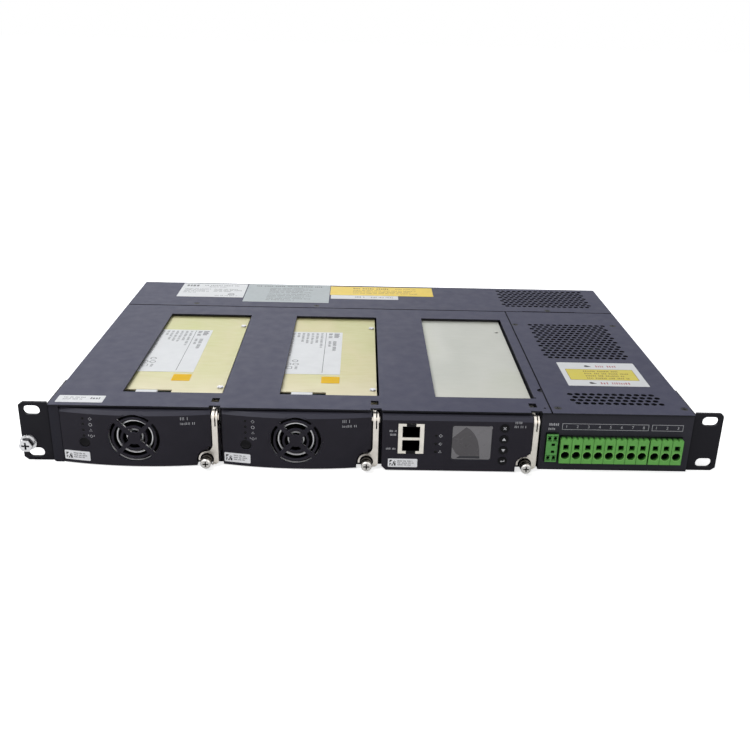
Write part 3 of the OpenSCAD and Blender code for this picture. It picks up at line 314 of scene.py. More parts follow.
# The ground screw's cross recess takes painted shade.
HEX_FRONT = corner("ground_screw", 0).y
HEX = plated_shaded_wells("hex_plating", (0.8, 0.8, 0.81), (0.1, 0.1, 0.11), HEX_FRONT, (0.2, 1.6), 0.28)
DARK_SCREW = moulded("dark_screw", (0.005, 0.005, 0.006), 0.45, 0.4, 0.01, 0.22)
# The captive screws' barrels behind their heads take painted shade.
SCREW_FRONT = corner("captive_screw_1", 0).y
SCREW = plated_shaded_wells("screw_plating", (0.72, 0.7, 0.67), (0.05, 0.045, 0.04), SCREW_FRONT, (0.35, 1.5))
ZINC = plated("case_zinc", (0.5, 0.5, 0.52), 0.38, (1, 0.2, 1))
WIRE = plated("guard_wire", (0.95, 0.95, 0.97), 0.4)
COPPER = plated("copper", (0.7, 0.38, 0.2), 0.32)
JACK_FRONT = corner("network_jack", 0).y
# Near-black painted shade inside the network jack's sockets.
JACK_SHADE = (0.004, 0.004, 0.004)
JACK = plated_shaded_wells("jack_shell", (0.93, 0.89, 0.8), JACK_SHADE, JACK_FRONT, (0.3, 1.3), 0.36)
BOARD = circuit("board_green", (0.02, 0.1, 0.045))
PINKISH = (0.6, 0.54, 0.38)
PALE = (0.56, 0.56, 0.5)
YELLOWS_1 = ((0.5, 0.49, 0.24), (0.52, 0.49, 0.27), (0.485, 0.49, 0.23))
YELLOWS_2 = ((0.5, 0.48, 0.24), (0.53, 0.485, 0.27), (0.49, 0.475, 0.24))
GREYS = ((0.5, 0.51, 0.46), (0.545, 0.55, 0.5), (0.53, 0.54, 0.47))
CHROMATE_1 = chromate("chromate_1", YELLOWS_1, PINKISH)
CHROMATE_2 = chromate("chromate_2", YELLOWS_2, PINKISH)
PALE_ZINC = chromate("pale_zinc", GREYS, PALE)
WHITE_FILM = film_stock("label_white", (0.68, 0.69, 0.7))
TAG_FILM = film_stock("label_tag", (0.9, 0.9, 0.92))
SILVER_FILM = film_stock("label_silver", (0.37, 0.41, 0.42))
YELLOW_FILM = film_stock("label_yellow", (0.81, 0.585, 0.05))
CAUTION_FILM = film_stock("label_caution", (0.66, 0.56, 0.055))
PATCH_FILM = film_stock("label_patch", (0.83, 0.5, 0.02), 0.5, 0.05)
FILM_OVER_GLASS = film_stock("film_loose", (0.205, 0.198, 0.208), 0.3)
FILM_WET = film_stock("film_wet", (0.098, 0.092, 0.098), 0.22)
DARK_INK = ink("print_dark", (0.035, 0.033, 0.035))
GREY_INK = ink("print_grey", (0.16, 0.16, 0.17))
BROWN_INK = ink("print_brown", (0.24, 0.15, 0.03))
RED_INK = ink("print_red", (0.4, 0.12, 0.13))
LIGHT_INK = ink("print_light", (0.62, 0.62, 0.64))
DIM_INK = ink("print_dim", (0.42, 0.42, 0.44))
LIGHT_PIPE = moulded("light_pipe", (0.003, 0.003, 0.0033), 0.25, 0.6, 0.01, 0.2)
GLASS = moulded("display_dark", (0.033, 0.033, 0.04), 0.2, 3.0, 0.01, 0.4)

FINISHES = {
    CHASSIS_PAINT_SHADED: ("chassis_tray", "bay_dividers", "crossbar"),
    PANEL_PAINT: ("terminal_panel",),
    COVER_PAINT_LIT_AND_SHADED: ("front_cover", "rear_cover", "right_cover"),
    EAR_PAINT: ("left_ear", "right_ear"),
    DARK_SCREW: ("cover_screws",),
    STEEL: ("ear_screws",),
    GROUND: ("ground_washers",),
    HEX: ("ground_screw",),
    NICKEL: (
        "lever_1",
        "lever_2",
        "controller_lever",
        "lever_pin_1",
        "lever_pin_2",
        "controller_lever_pin",
    ),
    SCREW: ("captive_screw_1", "captive_screw_2", "controller_captive_screw"),
    BOARD: (
        "backplane_board",
        "distribution_board",
        "power_board_1",
        "power_board_2",
        "controller_board",
    ),
    SOCKET: ("backplane_sockets", "plug_1", "plug_2"),
    COPPER: ("busbars",),
    GREEN: ("load_terminals", "input_terminals"),
    SIGNAL: ("signal_connector",),
    BEZEL: ("bezel_1", "bezel_2", "controller_bezel"),
    ZINC: ("case_1", "case_2", "controller_case"),
    CHROMATE_1: ("top_plate_1",),
    CHROMATE_2: ("top_plate_2",),
    PALE_ZINC: ("controller_top_plate",),
    WIRE: ("finger_guard_1", "finger_guard_2"),
    FAN: ("fan_frame_1", "fan_frame_2", "fan_rotor_1", "fan_rotor_2"),
    BUTTON: ("button_1", "button_2", "up_key", "down_key", "enter_key", "escape_key"),
    LIGHT_PIPE: ("light_pipes_1", "light_pipes_2", "controller_light_pipes"),
    JACK: ("network_jack",),
    GLASS: ("display",),
}


def finish_nodes():
    """Gives each CAD node its material."""
    for material, names in FINISHES.items():
        for name in names:
            mesh = nodes[name].data
            mesh.materials.clear()
            mesh.materials.append(material)


# ------------------------------------------------------------------ mesh helpers


def add_piece(name, bm, body, material):
    """Turns a bmesh drawn in millimetres into a piece that rides on a body."""
    bmesh.ops.recalc_face_normals(bm, faces=bm.faces)
    bmesh.ops.scale(bm, vec=(MM, MM, MM), verts=bm.verts)
    mesh = bpy.data.meshes.new(name)
    bm.to_mesh(mesh)
    bm.free()
    mesh.materials.append(material)
    made = bpy.data.objects.new(name, mesh)
    bpy.context.scene.collection.objects.link(made)
    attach(made, body)
    return made


def copy_of(node):
    """A CAD node's mesh, in millimetres."""
    bm = bmesh.new()
    bm.from_mesh(nodes[node].data)
    bmesh.ops.scale(bm, vec=(1 / MM, 1 / MM, 1 / MM), verts=bm.verts)
    return bm


def on_top(x, y, z, turn=0):
    """Local axes for a print on a surface that faces up: u to the right, v to the back, then turned."""
    return Matrix.Translation((x, y, z)) @ Matrix.Rotation(math.radians(turn), 4, "Z")


def on_front(x, y, z):
    """Local axes for a print on a surface that faces the viewer: u to the right, v up."""
    return Matrix.Translation((x, y, z)) @ Matrix.Rotation(math.radians(90), 4, "X")


def slab(bm, outline, low, high, place):
    """A flat plate with any outline, from one height to another in its local frame."""
    bottom = [bm.verts.new(place @ Vector((u, v, low))) for u, v in outline]
    top = [bm.verts.new(place @ Vector((u, v, high))) for u, v in outline]
    bm.faces.new(top)
    bm.faces.new(list(reversed(bottom)))
    count = len(outline)
    for i in range(count):
        j = (i + 1) % count
        bm.faces.new((bottom[i], bottom[j], top[j], top[i]))


def arc(u, v, radius, start, end, steps=6):
    """Points on a circular arc, in degrees."""
    angles = [math.radians(start + (end - start) * i / steps) for i in range(steps + 1)]
    return [(u + radius * math.cos(a), v + radius * math.sin(a)) for a in angles]


def disc(u, v, radius, steps=24):
    """Outline of a disc."""
    return arc(u, v, radius, 0, 360 * (steps - 1) / steps, steps - 1)


def annulus(bm, u, v, inner, outer, low, high, place, steps=72):
    """A flat ring."""
    loops = []
    for radius, level in ((inner, low), (inner, high), (outer, high), (outer, low)):
        loops.append([bm.verts.new(place @ Vector((*p, level))) for p in disc(u, v, radius, steps)])
    close_up(bm, loops)


def close_up(bm, loops):
    """Faces between closed loops of points, and from the last loop back to the first."""
    for a, b in zip(loops, loops[1:] + loops[:1]):
        for i in range(len(a)):
            j = (i + 1) % len(a)
            bm.faces.new((a[i], a[j], b[j], b[i]))


def rounded(u0, v0, u1, v1, radius=0.6):
    """Outline of a rectangle with round corners."""
    return (
        arc(u1 - radius, v0 + radius, radius, -90, 0)
        + arc(u1 - radius, v1 - radius, radius, 0, 90)
        + arc(u0 + radius, v1 - radius, radius, 90, 180)
        + arc(u0 + radius, v0 + radius, radius, 180, 270)
    )


def rectangle(u0, v0, u1, v1):
    """Outline of a rectangle."""
    return [(u0, v0), (u1, v0), (u1, v1), (u0, v1)]


# The bow of a rectifier's bezel: its radius, how far its crown stands out, and where the crown is
BOW_R = 254
BOW_OUT = 11
BOW_MIDDLE = 54
BOW_STEP = 2


def bowed_face(across):
    """Y of the rectifier bezel's bowed face, by the distance from the bay's left edge."""
    return BOW_R - BOW_OUT - math.sqrt(BOW_R**2 - (across - BOW_MIDDLE) ** 2)


def follow_bow(bm, left):
    """Bends flat work on the plane Y = 0 so that it lies on a rectifier's bowed face."""
    low = min(v.co.x for v in bm.verts)
    high = max(v.co.x for v in bm.verts)
    cut = low + BOW_STEP
    while cut < high:
        whole = [*bm.verts, *bm.edges, *bm.faces]
        bmesh.ops.bisect_plane(bm, geom=whole, plane_co=(cut, 0, 0), plane_no=(1, 0, 0))
        cut += BOW_STEP
    for v in bm.verts:
        v.co.y += bowed_face(v.co.x - left)


# ------------------------------------------------------------------ prints

# Thickness of a label's film and of print, how full a cell of a code is, and how many are filled
FILM = 0.12
PRINT = 0.02
CELL = 0.97
FILLED = 0.55


class Print:
    """Neutral print on one surface: rows of strokes, bars, rules, frames and plain marks."""

    def __init__(self, place, low=0.0, seed=1):
        self.bm = bmesh.new()
        self.place = place
        self.low = low
        self.chance = random.Random(seed)

    def patch(self, outline):
        """One closed shape of print."""
        slab(self.bm, outline, self.low, self.low + PRINT, self.place)

    def row(self, u, v, length, height, stroke=0.62):
        """Upright strokes set in groups, with spaces between the groups."""
        at = u
        while at < u + length - height * 0.5:
            for _ in range(self.chance.randint(3, 8)):
                width = height * self.chance.uniform(0.3, 0.62)
                if at + width > u + length:
                    return
                rise = height * self.chance.choice((1.0, 1.0, 0.82))
                self.patch(rectangle(at, v, at + width * stroke, v + rise))
                at += width + height * 0.1
            at += height * 0.6

    def rows(self, u, top, length, height, pitch, lengths):
        """Rows under each other, each a share of the full length."""
        for i, share in enumerate(lengths):
            self.row(u, top - i * pitch, length * share, height)

    def rule(self, u0, v0, u1, v1):
        """A line or a bar."""
        self.patch(rectangle(u0, v0, u1, v1))

    def frame(self, u0, v0, u1, v1, width):
        """A rectangular border."""
        self.patch(rectangle(u0, v0, u1, v0 + width))
        self.patch(rectangle(u0, v1 - width, u1, v1))
        self.patch(rectangle(u0, v0 + width, u0 + width, v1 - width))
        self.patch(rectangle(u1 - width, v0 + width, u1, v1 - width))

    def ring(self, u, v, radius, width, corners=20, start=0):
        """A ring, or with few corners an open polygon such as a diamond."""
        for i in range(corners):
            a = start + 360 * i / corners
            b = start + 360 * (i + 1) / corners
            outer = arc(u, v, radius + width / 2, a, b, 1)
            inner = arc(u, v, radius - width / 2, b, a, 1)
            self.patch(outer + inner)

    def grid(self, u, v, cell, count):
        """A square field of cells, some filled."""
        for i in range(count):
            for j in range(count):
                if self.chance.random() < FILLED:
                    high = u + (i + CELL) * cell, v + (j + CELL) * cell
                    self.patch(rectangle(u + i * cell, v + j * cell, *high))

    def digit(self, text, u, v, height):
        """A numeral from Blender's own plain face, as a thin mesh."""
        curve = bpy.data.curves.new("numeral", "FONT")
        curve.body = text
        curve.size = height * 1.38
        curve.align_x = "CENTER"
        curve.extrude = PRINT / 2
        curve.resolution_u = 3
        drawn = bpy.data.objects.new("numeral", curve)
        bpy.context.scene.collection.objects.link(drawn)
        bpy.context.view_layer.update()
        evaluated = drawn.evaluated_get(bpy.context.evaluated_depsgraph_get())
        mesh = bpy.data.meshes.new_from_object(evaluated)
        bpy.data.objects.remove(drawn)
        mesh.transform(self.place @ Matrix.Translation((u, v, self.low + PRINT / 2)))
        self.bm.from_mesh(mesh)
        bpy.data.meshes.remove(mesh)

    def done(self, name, body, material, bow_left=None):
        """Makes the print a piece, bent to the bow of the bay that starts at bow_left."""
        if bow_left is not None:
            follow_bow(self.bm, bow_left)
        return add_piece(name, self.bm, body, material)


def film(name, body, place, width, depth, material, radius=0.8, bow_left=None):
    """A label's film, bent like print where bow_left is given."""
    bm = bmesh.new()
    slab(bm, rounded(0, 0, width, depth, radius), 0.01, FILM, place)
    if bow_left is not None:
        follow_bow(bm, bow_left)
    return add_piece(name, bm, body, material)


# ------------------------------------------------------------------ labels on the covers

COVER_TOP = corner("rear_cover", 1).z


def rear_labels():
    """Rating label, silver notice plate, yellow label and strip label on the rear cover."""
    place = on_top(-182, 245, COVER_TOP)
    film("rating_label", "shelf", place, 62, 43.5, WHITE_FILM)
    text = Print(place, FILM, 1)
    text.row(4, 33.5, 13, 5.4, 0.8)
    text.row(21, 36, 34, 2.4)
    text.row(26, 31.5, 17, 2.2)
    text.rows(4, 24, 25, 1.9, 3.6, (1, 0.8, 0.95, 0.5))
    text.rows(32, 24, 27, 1.9, 3.6, (0.9, 1, 0.7))
    text.ring(50, 9.6, 2.6, 0.7)
    text.row(46.5, 8.6, 7, 2)
    text.row(35, 4, 22, 1.7)
    text.done("rating_print", "shelf", GREY_INK)

    place = on_top(-119, 233, COVER_TOP)
    film("notice_plate", "shelf", place, 79.5, 57, SILVER_FILM)
    text = Print(place, FILM, 2)
    text.row(8, 49, 64, 3.2, 0.75)
    text.rows(22, 42.5, 42, 2.2, 4.2, (0.95, 1, 0.8, 1))
    text.rows(21, 24, 44, 2.1, 4.6, (0.9, 1, 0.8, 0.95, 0.6))
    text.done("notice_print", "shelf", GREY_INK)

    place = on_top(-39, 259, COVER_TOP)
    film("yellow_label", "shelf", place, 98.5, 28, YELLOW_FILM)
    text = Print(place, FILM, 3)
    text.row(22, 20.5, 38, 3.4, 0.75)
    text.row(63, 21, 20, 2)
    text.rows(22, 15, 62, 2, 4.4, (0.98, 0.9, 1))
    text.done("yellow_print", "shelf", BROWN_INK)

    place = on_top(-38, 247, COVER_TOP)
    film("strip_label", "shelf", place, 63.6, 11.6, WHITE_FILM)
    text = Print(place, FILM, 4)
    text.row(23, 5, 10, 3, 0.8)
    text.row(38, 5, 22, 2.4)
    text.done("strip_print", "shelf", GREY_INK)


def front_label():
    """Small white label at the front cover's left corner."""
    place = on_top(-216.5, -1, COVER_TOP)
    film("front_label", "shelf", place, 32, 11.6, WHITE_FILM)
    text = Print(place, FILM, 5)
    text.row(22.5, 5.4, 7, 3.2, 0.8)
    text.rows(4, 7.6, 15, 1.4, 3, (1, 0.9))
    text.done("front_print", "shelf", GREY_INK)


def terminal_label():
    """White label over the terminals with a plain yellow field, two pointers and two words."""
    place = on_top(143.5, 44, COVER_TOP)
    film("terminal_label", "shelf", place, 60, 47, WHITE_FILM)
    raised = place @ Matrix.Translation((0, 0, FILM))
    field = (3.9, 11.4, 55.5, 33)
    field_h = 0.05
    bm = bmesh.new()
    slab(bm, rounded(*field, 0.6), 0, field_h, raised)
    add_piece("terminal_field", bm, "shelf", CAUTION_FILM)
    text = Print(raised, field_h, 6)
    text.frame(*field, 0.35)
    text.rows(17, 27.6, 34, 2.4, 4.6, (0.8, 1, 0.9, 0.95))
    text.done("terminal_field_print", "shelf", BROWN_INK)
    text = Print(place, FILM, 7)
    text.patch(arc(22, 39.6, 1.9, 90, 270) + [(25.5, 38.6)])
    text.patch(arc(18.4, 5.6, 1.9, 90, 270) + [(21.9, 4.6)])
    text.done("terminal_marks", "shelf", DARK_INK)
    text = Print(place, FILM, 8)
    text.row(29, 37.6, 17, 3.6)
    text.row(25, 3.6, 25, 3.6)
    text.done("terminal_words", "shelf", RED_INK)


# ------------------------------------------------------------------ covers

# By cover: the axis an edge lies across, where it lies, and how far it is drawn back
SEAMS = {
    "front_cover": ((0, 121.65, -0.3), (1, 217.75, -0.5)),
    "right_cover": ((0, 122.15, 0.3), (1, 217.75, -0.4)),
    "rear_cover": ((1, 218.25, 0.6),),
}
# Points this near to an edge lie on it
NEAR = 0.05


def open_seams():
    """The covers with their seam edges drawn back, so that the seams are as wide as in the photo."""
    for node, moves in SEAMS.items():
        bm = copy_of(node)
        for v in bm.verts:
            for axis, place, shift in moves:
                if abs(v.co[axis] - place) < NEAR:
                    v.co[axis] += shift
        sheet = add_piece(node + "_sheet", bm, "shelf", COVER_PAINT_LIT_AND_SHADED)
        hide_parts(node)


# ------------------------------------------------------------------ module plates


# Clearance of a case in its bay, how far back the recess for the fan lead reaches, the thickness of a
# rectifier's top plate, and its screws
CASE_IN = 0.8
LEAD_GAP = 29.5
PLATE_T = 1
PLATE_SCREW_X = 103.4
PLATE_SCREW_YS = (35, 170)


def bay_left(module):
    """X of the left edge of a module's bay."""
    return corner(CASES[module], 0).x - CASE_IN


def rim(node):
    """Outer edge of a flat CAD sheet's upper face, in order, in millimetres."""
    high = corner(node, 1).z
    bm = bmesh.new()
    bm.from_mesh(nodes[node].data)
    bmesh.ops.remove_doubles(bm, verts=bm.verts, dist=0.01 * MM)
    after = {}
    for face in bm.faces:
        if face.normal.z > 0.9:
            for loop in face.loops:
                if any(abs(other.normal.z) < 0.1 for other in loop.edge.link_faces):
                    after[loop.vert.index] = loop.link_loop_next.vert.index
    bm.verts.ensure_lookup_table()
    loops = []
    while after:
        at = next(iter(after))
        path = []
        while at in after:
            path.append(at)
            at = after.pop(at)
        loops.append([bm.verts[i].co / MM for i in path])
    bm.free()
    outer = max(loops, key=lambda path: max(p.x for p in path) - min(p.x for p in path))
    return [(p.x, p.y) for p in outer], high


def pan_screw(bm, x, y, z, radius, height):
    """A pan head with a cross recess, drawn as four raised quarters on a disc."""
    half_slot = 0.28
    shoulder = height * 0.55
    quarter = [(half_slot, half_slot)] + arc(half_slot, half_slot, radius - 0.7, 0, 90)
    slab(bm, disc(0, 0, radius), 0, shoulder, on_top(x, y, z))
    for turn in (0, 90, 180, 270):
        slab(bm, quarter, shoulder, height, on_top(x, y, z, turn))


def module_plate(module, number):
    """The rectifier's top plate, with the recess for the fan lead at its front left corner."""
    left = bay_left(module)
    node = "top_plate_" + number
    edge, high = rim(node)
    back_of_gap = max(y for x, y in edge if y < LEAD_GAP)
    moved = [(x, LEAD_GAP if abs(y - back_of_gap) < NEAR else y) for x, y in edge]
    bm = bmesh.new()
    slab(bm, moved, high - PLATE_T, high, on_top(0, 0, 0))
    material = CHROMATE_1 if number == "1" else CHROMATE_2
    plate = add_piece(module + "_plate", bm, module, material)
    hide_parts(node)
    bm = bmesh.new()
    for y in PLATE_SCREW_YS:
        pan_screw(bm, left + PLATE_SCREW_X, y, high, 2.3, 1.0)
    add_piece(module + "_plate_screws", bm, module, ZINC)


def lead_plug(module, number):
    """White two-way plug of the fan lead, seated on the rear edge of the fan's housing."""
    fan_top = corner("fan_frame_" + number, 1)
    place = on_top(bay_left(module) + 45.5, fan_top.y, fan_top.z)
    width = 15
    back = 4.6
    lip = -1.6
    bm = bmesh.new()
    slab(bm, rectangle(0, lip, width, back), 0, 2.3, place)
    slab(bm, rectangle(0, 0.05, width, back), -5, 0, place)
    for u in (4.2, 9):
        slab(bm, rectangle(u, lip - 0.8, u + 1.8, lip), 0, 1.6, place)
    add_piece(module + "_lead_plug", bm, module, WHITE_FILM)


def module_label(module, number):
    """White label and orange patch on a rectifier's top plate, read from the left."""
    left = bay_left(module)
    high = corner("top_plate_" + number, 1).z
    place = on_top(left + 28, 158.5, high, -90)
    film(module + "_label", module, place, 95, 51, WHITE_FILM)
    text = Print(place, FILM, 20)
    text.row(3, 44.2, 13, 4.4, 0.82)
    text.row(3, 39.6, 12, 3.2, 0.82)
    text.row(22, 43.6, 26, 2.8, 0.7)
    text.row(22, 39.9, 13, 2.2, 0.7)
    text.rule(1.5, 37.2, 92, 37.65)
    text.rows(3, 33, 36, 2.1, 3.9, (1, 0.72, 0.76, 0.7, 0.62, 0.34))
    text.row(3, 9.4, 56, 2, 0.5)
    text.rule(1.5, 8.2, 92, 8.5)
    text.grid(3, 2.6, 0.75, 6)
    for u, v in ((68, 15.6), (75, 16.4), (75, 10.8)):
        text.ring(u, v, 2.1, 0.6)
    text.frame(80, 9.6, 84.6, 14.2, 0.5)
    text.row(80, 16.2, 6, 2)
    text.done(module + "_print", module, GREY_INK)
    corner_of_patch = on_top(left + 65.5, 46.5, high)
    film(module + "_patch", module, corner_of_patch, 13.5, 12.5, PATCH_FILM)


# ------------------------------------------------------------------ fronts of the modules

# Wire guard: radii of its rings and of its wire
GUARD_RINGS = (5.2, 12.0, 18.2)
WIRE_R = 0.8
# Rim in the grille's opening: its radii, and its back and front measured out from the bowed face
RIM_RADII = (17.4, 18.46)
RIM_DEPTHS = (-1.6, -0.12)
BEVEL_H = 2.4
# Width of a captive screw against the CAD's
SCREW_SLIM = 0.87
# Radius of a light pipe, and how far right of it its mark is
PIPE_R = 0.9
RECTIFIER_MARK_RIGHT = 5.2
CONTROLLER_MARK_RIGHT = 3.1
# Height of the network jack's face, and the half width and height of its two latch notches
JACK_H = 22.4
NOTCH_HALF = 3.3
NOTCH_H = 2.2
# Height of the wire entries above the terminal blocks' lower edge
ENTRY_UP = 6.1


def centre_of(node):
    """Middle of a CAD node's box."""
    return (corner(node, 0) + corner(node, 1)) / 2


def finger_guard(module, number):
    """Guard of bright round wire in front of the fan: three rings and a cross."""
    node = "finger_guard_" + number
    middle = centre_of(node)
    middle.y = corner(node, 1).y - WIRE_R
    bm = bmesh.new()
    for radius in GUARD_RINGS:
        loops = []
        for x, z in disc(0, 0, 1, 64):
            out = Vector((x, 0, z))
            section = disc(radius, 0, WIRE_R, 10)
            loops.append([bm.verts.new(middle + out * u + Vector((0, v, 0))) for u, v in section])
        close_up(bm, loops)
    for turn in (45, 135):
        place = Matrix.Translation(middle) @ Matrix.Rotation(math.radians(turn), 4, "Y")
        size = {"segments": 12, "radius1": WIRE_R, "radius2": WIRE_R, "depth": 2 * GUARD_RINGS[-1]}
        bmesh.ops.create_cone(bm, cap_ends=True, matrix=place, **size)
    guard = add_piece(module + "_guard", bm, module, WIRE)
    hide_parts(node)


def captive_screw(module, node):
    """The captive screw, made as slim as in the photo."""
    middle = centre_of(node)
    bm = copy_of(node)
    for v in bm.verts:
        v.co.x = middle.x + (v.co.x - middle.x) * SCREW_SLIM
        v.co.z = middle.z + (v.co.z - middle.z) * SCREW_SLIM
    screw = add_piece(module + "_captive_screw_head", bm, module + "_screw", SCREW)
    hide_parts(node)


def grille_rim(module, number):
    """Rim inside the grille's opening, a little behind the bowed face."""
    left = bay_left(module)
    middle = centre_of("finger_guard_" + number)
    bm = bmesh.new()
    annulus(bm, middle.x - left, middle.z, *RIM_RADII, *RIM_DEPTHS, on_front(left, 0, 0))
    follow_bow(bm, left)
    bevel = corner("bezel_" + number, 1).z - BEVEL_H
    for v in bm.verts:
        v.co.y += max(0.0, v.co.z - bevel)
    add_piece(module + "_grille_rim", bm, module, BEZEL)


def tag(name, body, place, width, height, bow_left=None):
    """A small white label with a square code and three rows."""
    film(name, body, place, width, height, TAG_FILM, 0.7, bow_left)
    text = Print(place, FILM, 30)
    text.grid(1.1, 1.1, 0.62, 7)
    text.rows(6.6, height - 2.2, width - 8.6, 0.9, 1.5, (0.9, 1, 0.85))
    text.done(name + "_print", body, DARK_INK, bow_left)


def pipe_marks(node, left):
    """Across, top and low of a row of light pipes, across from the bay's left edge."""
    low, high = corner(node, 0), corner(node, 1)
    return (low.x + high.x) / 2 - left, high.z - PIPE_R, low.z + PIPE_R


def rectifier_front(module, number):
    """Tag, marks beside the light pipes and a short row of print, laid on the bowed face."""
    left = bay_left(module)
    flat = on_front(left, 0, 0)
    tag(module + "_tag", module, flat @ Matrix.Translation((1.4, 3.1, 0)), 18.2, 6.9, left)
    pipe, top, low = pipe_marks("light_pipes_" + number, left)
    middle = pipe + RECTIFIER_MARK_RIGHT
    step = (top - low) / 3
    text = Print(flat, seed=31)
    text.ring(middle, top, 1.1, 0.32, 4)
    text.ring(middle, top - step, 1.05, 0.34, 16)
    text.ring(middle, top - 2 * step, 1.1, 0.32, 3, 90)
    text.ring(middle, low, 1.05, 0.34, 4)
    text.patch(rectangle(middle - 2.2, low - 0.1, middle - 1.8, low + 1.1))
    text.patch(rectangle(middle + 1.8, low - 0.1, middle + 2.2, low + 1.1))
    text.row(82.8, 35.3, 6.2, 2.2, 0.45)
    text.row(82.6, 31.8, 10.4, 1.7, 0.45)
    text.done(module + "_front_print", module, DIM_INK, left)


def controller_front():
    """Tag, marks beside the light pipes, legends beside the jack and a short row of print."""
    left = bay_left("controller")
    face = corner("controller_bezel", 0).y
    place = on_front(left, face, 0)
    tag("controller_tag", "controller", place @ Matrix.Translation((4.6, 3.2, 0)), 20.3, 6.4)
    pipe, top, low = pipe_marks("controller_light_pipes", left)
    across = pipe + CONTROLLER_MARK_RIGHT
    middle = (top + low) / 2
    text = Print(place, seed=32)
    text.ring(across, top, 1.1, 0.5, 4)
    text.ring(across, middle, 1.0, 0.5, 4)
    text.patch([(across - 0.2, middle + 0.4), (across + 1.5, middle), (across - 0.2, middle + 1.4)])
    text.ring(across, low, 1.1, 0.45, 3, 90)
    text.row(5.2, 29.8, 5.0, 1.5, 0.7)
    text.row(5.6, 27, 4.6, 1.5, 0.7)
    text.row(3, 16.5, 7, 1.4, 0.7)
    text.row(90.4, 37.3, 5.2, 1.8, 0.45)
    text.row(90, 34.3, 8.4, 1.7, 0.45)
    text.done("controller_print", "controller", DIM_INK)


def jack_notch_shadows():
    """Dark patches where the latch notches of the two sockets open in the jack's shell: painted shade
    standing for the notch openings, drawn as flat print on the shell's face.
    """
    front, top = corner("network_jack", 0).y, corner("network_jack", 1).z
    middle = centre_of("network_jack").x
    notch_shade = Print(on_front(0, front, 0))
    for low in (top - NOTCH_H, top - JACK_H):
        notch_shade.patch(rectangle(middle - NOTCH_HALF, low, middle + NOTCH_HALF, low + NOTCH_H))
    notch_shade.done("jack_notch_shadows", "controller", BUTTON)


def display_film():
    """Protective film on the display: a loose sheet with a pull tab, and the patch that clings."""
    low, high = corner("display", 0), corner("display", 1)
    width, height = high.x - low.x, high.z - low.z
    place = on_front(low.x, low.y, low.z)
    bm = bmesh.new()
    slab(bm, rounded(0.3, 0.3, width - 0.3, height - 0.3, 1.6), 0.01, 0.06, place)
    slab(bm, disc(width - 0.6, height - 0.5, 1.5), 0.07, 0.12, place)
    add_piece("display_film", bm, "controller", FILM_OVER_GLASS)
    bm = bmesh.new()
    left_side = [(0.35, 16.4), (0.35, 9.4), (3.2, 4.6), (6.2, 2.6)]
    right_side = [(19.6, 2.6), (19.1, 9), (17.6, 15.2), (15.2, 19.6), (12.4, 22.8), (9.4, 24.6)]
    slab(bm, left_side + right_side, 0.06, 0.09, place)
    add_piece("display_cling", bm, "controller", FILM_WET)
    bm = bmesh.new()
    slab(bm, [(3.4, 1.0), (19.8, 1.0), (19.6, 2.7), (5.8, 2.7)], 0.06, 0.1, place)
    add_piece("display_edge", bm, "controller", GLASS)


def key_marks():
    """Marks on the keys: triangles for up and down, a bent arrow and a cross for enter and escape."""
    for node in ("up_key", "down_key", "enter_key", "escape_key"):
        middle = centre_of(node)
        text = Print(on_front(middle.x, corner(node, 0).y, middle.z))
        if node in ("up_key", "down_key"):
            up = 1 if node == "up_key" else -1
            text.patch([(-1.35, -0.95 * up), (1.35, -0.95 * up), (0, 1.25 * up)][::up])
        elif node == "enter_key":
            text.patch([(-1.5, -0.2), (-0.6, -0.95), (-0.6, 0.55)])
            text.rule(-0.6, -0.42, 1.4, 0.02)
            text.rule(1.0, 0.02, 1.4, 0.95)
        else:
            for sign in (1, -1):
                start = [(-1.1, -0.8 * sign), (-0.8, -1.1 * sign)]
                text.patch(start + [(1.1, 0.8 * sign), (0.8, 1.1 * sign)])
        text.done(node + "_mark", node + "_cap", LIGHT_INK)


def way_centres(node, ways):
    """X of the middle of each way of a terminal block."""
    low, high = corner(node, 0), corner(node, 1)
    pitch = (high.x - low.x) / ways
    return [low.x + (i + 0.5) * pitch for i in range(ways)]


def terminal_legends():
    """Framed numbers over the terminal blocks, and two rows over the signal connector."""
    text = Print(on_front(0, corner("terminal_panel", 0).y, 0), seed=33)
    for node, ways in BLOCKS:
        text.frame(corner(node, 0).x + 0.8, 30.9, corner(node, 1).x - 0.4, 35.6, 0.32)
        for i, x in enumerate(way_centres(node, ways)):
            text.digit(str(i + 1), x, 32.2, 2.2)
    low = corner("signal_connector", 0)
    text.row(low.x + 1.2, 33.8, 8.2, 1.9, 0.7)
    text.row(low.x + 1.0, 30.5, 5.4, 1.7, 0.7)
    text.done("terminal_legends", "shelf", DIM_INK)


def entry_lips():
    """Raised eight-sided lip around every wire entry of the terminal blocks, in a paler copy of the
    blocks' green as a painted highlight.
    """
    for node, ways in BLOCKS:
        low = corner(node, 0)
        lips = Print(on_front(0, low.y, 0))
        for x in way_centres(node, ways):
            lips.ring(x, low.z + ENTRY_UP, 3.35, 0.42, 8, 22.5)
        lips.done(node + "_lips", "shelf", GREEN_LIP_HIGHLIGHT)


# ------------------------------------------------------------------ stage, light and camera


FLOOR_GLOW = 0.7
SKY = 0.36


